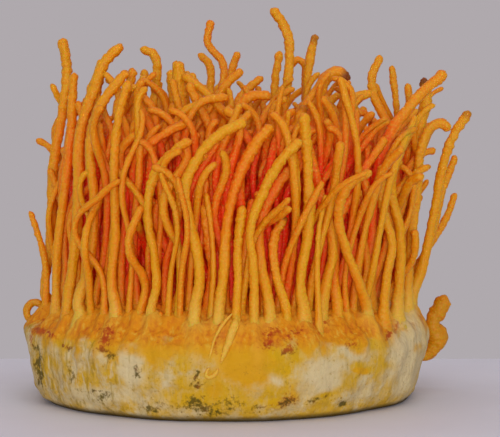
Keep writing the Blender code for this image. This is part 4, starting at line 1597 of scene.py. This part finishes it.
def cake_mesh(name, feet):
    """The cake's skin: turned outline, lumps, grains under the felt, mat, ridges, bulges and strands."""
    rows = soften(cake_rows())
    along = np.gradient(rows, axis=0)
    along /= np.linalg.norm(along, axis=1, keepdims=True)
    angles = np.arange(CAKE_AROUND) * 2 * math.pi / CAKE_AROUND
    angle, row_r = np.meshgrid(angles, rows[:, 0])
    row_z, out_r, out_z = (
        np.repeat(part[:, None], CAKE_AROUND, axis=1) for part in (rows[:, 1], along[:, 1], -along[:, 0])
    )
    wall = risen(row_r, CAKE_FOOT_RADIUS * LUMPY_FROM, LUMPS_START)
    radius = row_r + cake_lump(angle, row_z) * wall
    x, y, z = radius * np.cos(angle), radius * np.sin(angle), row_z.copy()

    lift, stray = (part.reshape(x.shape) for part in unevenness(x.ravel(), y.ravel(), z.ravel()))
    lift *= np.clip(row_z / LOW_FADE, 0, 1) * (1 - LOW_SHARE) + LOW_SHARE
    grown = mat_rise(x, y, feet) * risen(row_z, *MAT_GROWTH)
    ridges, root_pale = wall_ridges(angle, row_r, row_z, feet)
    lift += ridges
    for turn_at, height_at, wide, high, size in WALL_BULGES:
        turn = turn_from(angle, math.radians(turn_at))
        lift += size * mound(turn * CAKE_RADIUS, wide, row_z - height_at, high)
    strands = []
    for kind, height, *line in WALL_STRANDS:
        strand = wall_strand(x + stray, y, row_z, *line)
        strands.append((kind, with_middles(strand)))
        lift += height * strand * risen(row_r, STRAND_FROM, STRAND_START)
    lift[row_z < UNDERSIDE_TOP] = 0.0
    x = x + out_r * lift * np.cos(angle)
    y = y + out_r * lift * np.sin(angle)
    z = z + out_z * lift + grown

    verts = np.stack((x, y, z), axis=-1).reshape(-1, 3)
    verts = np.vstack((verts, [(0.0, 0.0, CAKE_HEIGHT), (0.0, 0.0, 0.0)]))
    mesh = bpy.data.meshes.new(name)
    mesh.from_pydata((verts * MM).tolist(), [], cake_faces(len(rows)))
    mesh.polygons.foreach_set("use_smooth", np.ones(len(mesh.polygons), dtype=bool))

    x, y, z = verts[:, 0], verts[:, 1], verts[:, 2]
    drawn_x = x + wandering(x, y, z, *WANDER_SIDEWAYS)
    drawn_z = z + wandering(x, y, z, *WANDER_IN_HEIGHT)
    edge = z + wandering(x, y, z, *WANDER_OF_MAT)
    for kind in PATCHES:
        value = patch_values(kind, drawn_x, y, drawn_z)
        for strand_kind, strand in strands:
            if strand_kind == kind:
                value = np.maximum(value, STRAND_COLOUR * strand)
        if kind == "orange":
            pale_side = mound(x - PALE_SIDE[0], PALE_SIDE_WIDTHS[0], y - PALE_SIDE[1], PALE_SIDE_WIDTHS[1])
            value = np.maximum(value, risen(edge, *MAT_COLOUR) * (1 - PALE_SIDE_SHARE * pale_side))
        paint(mesh, kind, value)
    root = RIDGE_COLOUR * with_middles(ridges)
    root_pale = with_middles(root_pale)
    for foot_x, foot_y, foot_radius, pale in feet:
        gap = np.hypot(x - foot_x, y - foot_y)
        near = np.exp(-((gap / (foot_radius + ROOT_REACH)) ** 2)) * (z > ROOTS_ABOVE)
        root_pale = np.where(near > root, pale, root_pale)
        root = np.maximum(root, near)
    paint(mesh, "root", root)
    paint(mesh, "root_pale", root_pale)
    mesh.update()
    return mesh


def on_the_wall(route, skin):
    """Points that lie against the front of the cake's skin, from their (x, z, radius)."""
    points = []
    for x, z, radius in route:
        met = skin.ray_cast(Vector((x, -2 * CAKE_RADIUS, z)) * MM, Vector((0.0, 1.0, 0.0)))[0]
        depth = met.y / MM if met else 0.0
        points.append((x, min(depth, LYING_DEEPEST) - radius * LYING_PROUD, z))
    return np.array(points), [radius for _, _, radius in route]


def stand_camera():
    """The camera at the photo's place."""
    camera = bpy.data.objects.new("camera", bpy.data.cameras.new("camera"))
    bpy.context.scene.collection.objects.link(camera)
    camera.data.sensor_width = SENSOR_WIDTH
    camera.data.lens = FOCAL_LENGTH
    camera.location = Vector((CAMERA_X, -CAMERA_DISTANCE, CAMERA_HEIGHT)) * MM
    drop = math.atan2(CAMERA_HEIGHT - AIM_HEIGHT, CAMERA_DISTANCE)
    camera.rotation_euler = (math.pi / 2 - drop, 0.0, 0.0)
    camera.data.clip_start, camera.data.clip_end = CAMERA_CLIP
    bpy.context.scene.camera = camera


def add_light(name, place, size, power):
    """A square soft light, aimed at the bunch."""
    light = bpy.data.lights.new(name, "AREA")
    light.shape = "SQUARE"
    light.size = size
    light.energy = power
    lamp = bpy.data.objects.new(name, light)
    lamp.location = place
    lamp.rotation_mode = "QUATERNION"
    lamp.rotation_quaternion = (Vector(LIGHT_AIM) - Vector(place)).to_track_quat("-Z", "Y")
    bpy.context.scene.collection.objects.link(lamp)


def light_studio():
    """Soft light from the front and from above, before a plain wall."""
    scene = bpy.context.scene
    scene.view_settings.view_transform = "Standard"
    world = bpy.data.worlds.new("studio")
    world.use_nodes = True
    world.node_tree.nodes["Background"].inputs["Color"].default_value = (*WALL_COLOUR, 1.0)
    scene.world = world
    for light in LIGHTS:
        add_light(*light)


def lay_floor():
    """A pale table top that ends a little way behind the bunch."""
    mesh = bpy.data.meshes.new("table_top")
    wide, front, back = TABLE_SIDE, -TABLE_SIDE, TABLE_BACK
    corners = [(-wide, front, 0), (wide, front, 0), (wide, back, 0), (-wide, back, 0)]
    mesh.from_pydata(corners, [], [(0, 1, 2, 3)])
    floor = bpy.data.objects.new("table_top", mesh)
    bpy.context.scene.collection.objects.link(floor)
    material, tree, shader, place = new_material("table_paint", 0.6)
    tone = cloudy(tree, place, TABLE_CLOUD, detail=3.0)
    shaded = tuple(part * TABLE_SHADE for part in FLOOR_COLOUR)
    colour = blend_colour(tree, slide(tree, tone, 0.3, 0.7), FLOOR_COLOUR, shaded)
    feed(tree, shader.inputs["Base Color"], colour)
    mesh.materials.append(material)


def bunch_routes():
    """The routes of the stalks that stand out, of the crowd, and of the thin ones that fill its gaps."""
    routes = [standing_route(*stalk) for stalks in STALK_GROUPS.values() for stalk in stalks]
    taken = [tuple(points[0, :2]) for points, _ in routes]
    crowd = crowd_routes(taken)
    ease_apart(routes + crowd, EASING_ROUNDS)
    taken = [tuple(points[0, :2]) for points, _ in routes + crowd]
    fill = fill_routes(taken)
    rounds = FILL_ROUNDS
    ease_apart(routes + crowd + fill, rounds, held=len(routes + crowd))
    fill = [route for route in fill if within_sides(route[0])]
    set_down(routes, FOOT_GAP)
    set_down(crowd, -CROWD_ROOT)
    set_down(fill, -CROWD_ROOT)
    return routes, crowd, fill


def grow_piece(name, node, slot, tree, routes, **values):
    """Grows one piece of stalks, hangs it from the root body and hides the solid's node it stands for. The
    slot is not used.
    """
    piece = grow(name, smooth_curves(name + "_path", routes), tree, **values)
    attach(piece, "root")
    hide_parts(node)


def build():
    """Builds the studio and the bunch in it."""
    stand_camera()
    light_studio()
    lay_floor()

    groups = {"inside": inner_shade_group(), "grain": grain_group(), "edge": edge_group()}
    flesh = flesh_material("stalk_flesh", groups)
    curl_flesh = flesh_material("curl_flesh", groups, shade_redness=0.2, warmth=-0.05, browning=0.2)
    young_flesh = flesh_material("young_flesh", groups, shade_redness=0.6, warmth=-0.1, glow=0.0008)
    lying_flesh = flesh_material("lying_flesh", groups, 0.0, warmth=-0.1, pale_share=4.0, glow=0.0010)
    mycelium = cake_material(groups)
    tree = stalk_tree()

    named = []
    for group, stalks in STALK_GROUPS.items():
        named += [f"{group}_stalk_{number:02d}" for number in range(1, len(stalks) + 1)]
    routes, crowd, fill = bunch_routes()
    pale = [PALE_FEET.get(name, PLAIN_FOOT) for name in named] + [PLAIN_FOOT] * len(crowd + fill)
    feet = [(*points[0, :2], radius, share) for (points, radius), share in zip(routes + crowd + fill, pale)]

    cake = bpy.data.objects.new("cake_skin", cake_mesh("cake_skin", feet))
    bpy.context.scene.collection.objects.link(cake)
    cake.data.materials.append(mycelium)
    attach(cake, "root")
    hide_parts("substrate_cake")

    for number, (name, (points, radius)) in enumerate(zip(named, routes)):
        route = (rooted(points, ROOT_DEPTH), radius * GIRTH_SHARE)
        lowest, highest = GROUP_TINTS[name.split("_")[0]]
        grow_piece(
            name + "_flesh", name, "stalk_flesh", tree, [route], Rings=150, Sides=15, First_Number=number,
            Lowest_Tint=lowest, Highest_Tint=highest, Least_Pale=pale[number], Most_Pale=pale[number],
            Dark_Tip=DARK_TIPS.get(name, 0.0), Material=flesh,
        )

    crowd = [(points, radius * CROWD_GIRTH_SHARE) for points, radius in hook_tips(crowd, HOOK_SEED)]
    fill = hook_tips(fill, HOOK_SEED + 1)
    for kind, some, first, rings, sides in (("crowd", crowd, 100, 90, 11), ("fill", fill, 300, 50, 7)):
        share = math.ceil(len(some) / CROWD_PIECES)
        for part in range(CROWD_PIECES):
            grow_piece(
                f"{kind}_stalks_{part + 1}", "substrate_cake", "stalk_flesh", tree,
                some[part * share:(part + 1) * share], Rings=rings, Sides=sides,
                First_Number=first + part * share, Least_Pale=PLAIN_FOOT, Most_Pale=PLAIN_FOOT,
                Material=flesh,
            )

    gathered = [standing_route(*stalk) for stalk in GATHERED_STALKS]
    gathered = [(rooted(points, ROOT_DEPTH), radius) for points, radius in gathered]
    grow_piece(
        "gathered_stalks", "substrate_cake", "stalk_flesh", tree, gathered, Rings=100, Sides=10,
        First_Number=1300, Lowest_Tint=0.0, Highest_Tint=0.5, Least_Pale=PLAIN_FOOT, Most_Pale=0.6,
        Material=flesh,
    )
    grow_piece(
        "young_stalks", "substrate_cake", "stalk_flesh", tree, stub_routes(feet), Rings=10, Sides=7,
        Tip_Rings=4, Tip_Length=0.0006, Foot_Flare=0.7, Foot_Spread=0.0008, First_Number=1100, Most_Pale=0.0,
        Material=young_flesh,
    )
    skin = BVHTree.FromObject(cake, bpy.context.evaluated_depsgraph_get())
    grow_piece(
        "lying_stalks", "substrate_cake", "stalk_flesh", tree,
        [on_the_wall(route, skin) for route in LYING_STALKS], Rings=70, Sides=12, Foot_Flare=0.3,
        First_Number=1200, Lowest_Tint=0.0, Highest_Tint=0.1, Least_Pale=1.0, Most_Pale=1.0,
        Material=lying_flesh,
    )
    for number, (name, bends, girth) in enumerate(CURLS):
        route = ([bend[:3] for bend in bends], [bend[3] * girth for bend in bends])
        grow_piece(
            name + "_flesh", name, "curl_flesh", tree, [route], Rings=110, Sides=18, Foot_Flare=0.15,
            Club=0.0, Swell=0.4, Knobble=0.42, Wrinkle=0.1, Tip_Length=0.001, First_Number=1000 + number,
            Lowest_Tint=0.1, Highest_Tint=0.3, Most_Pale=0.0, Material=curl_flesh,
        )


build()
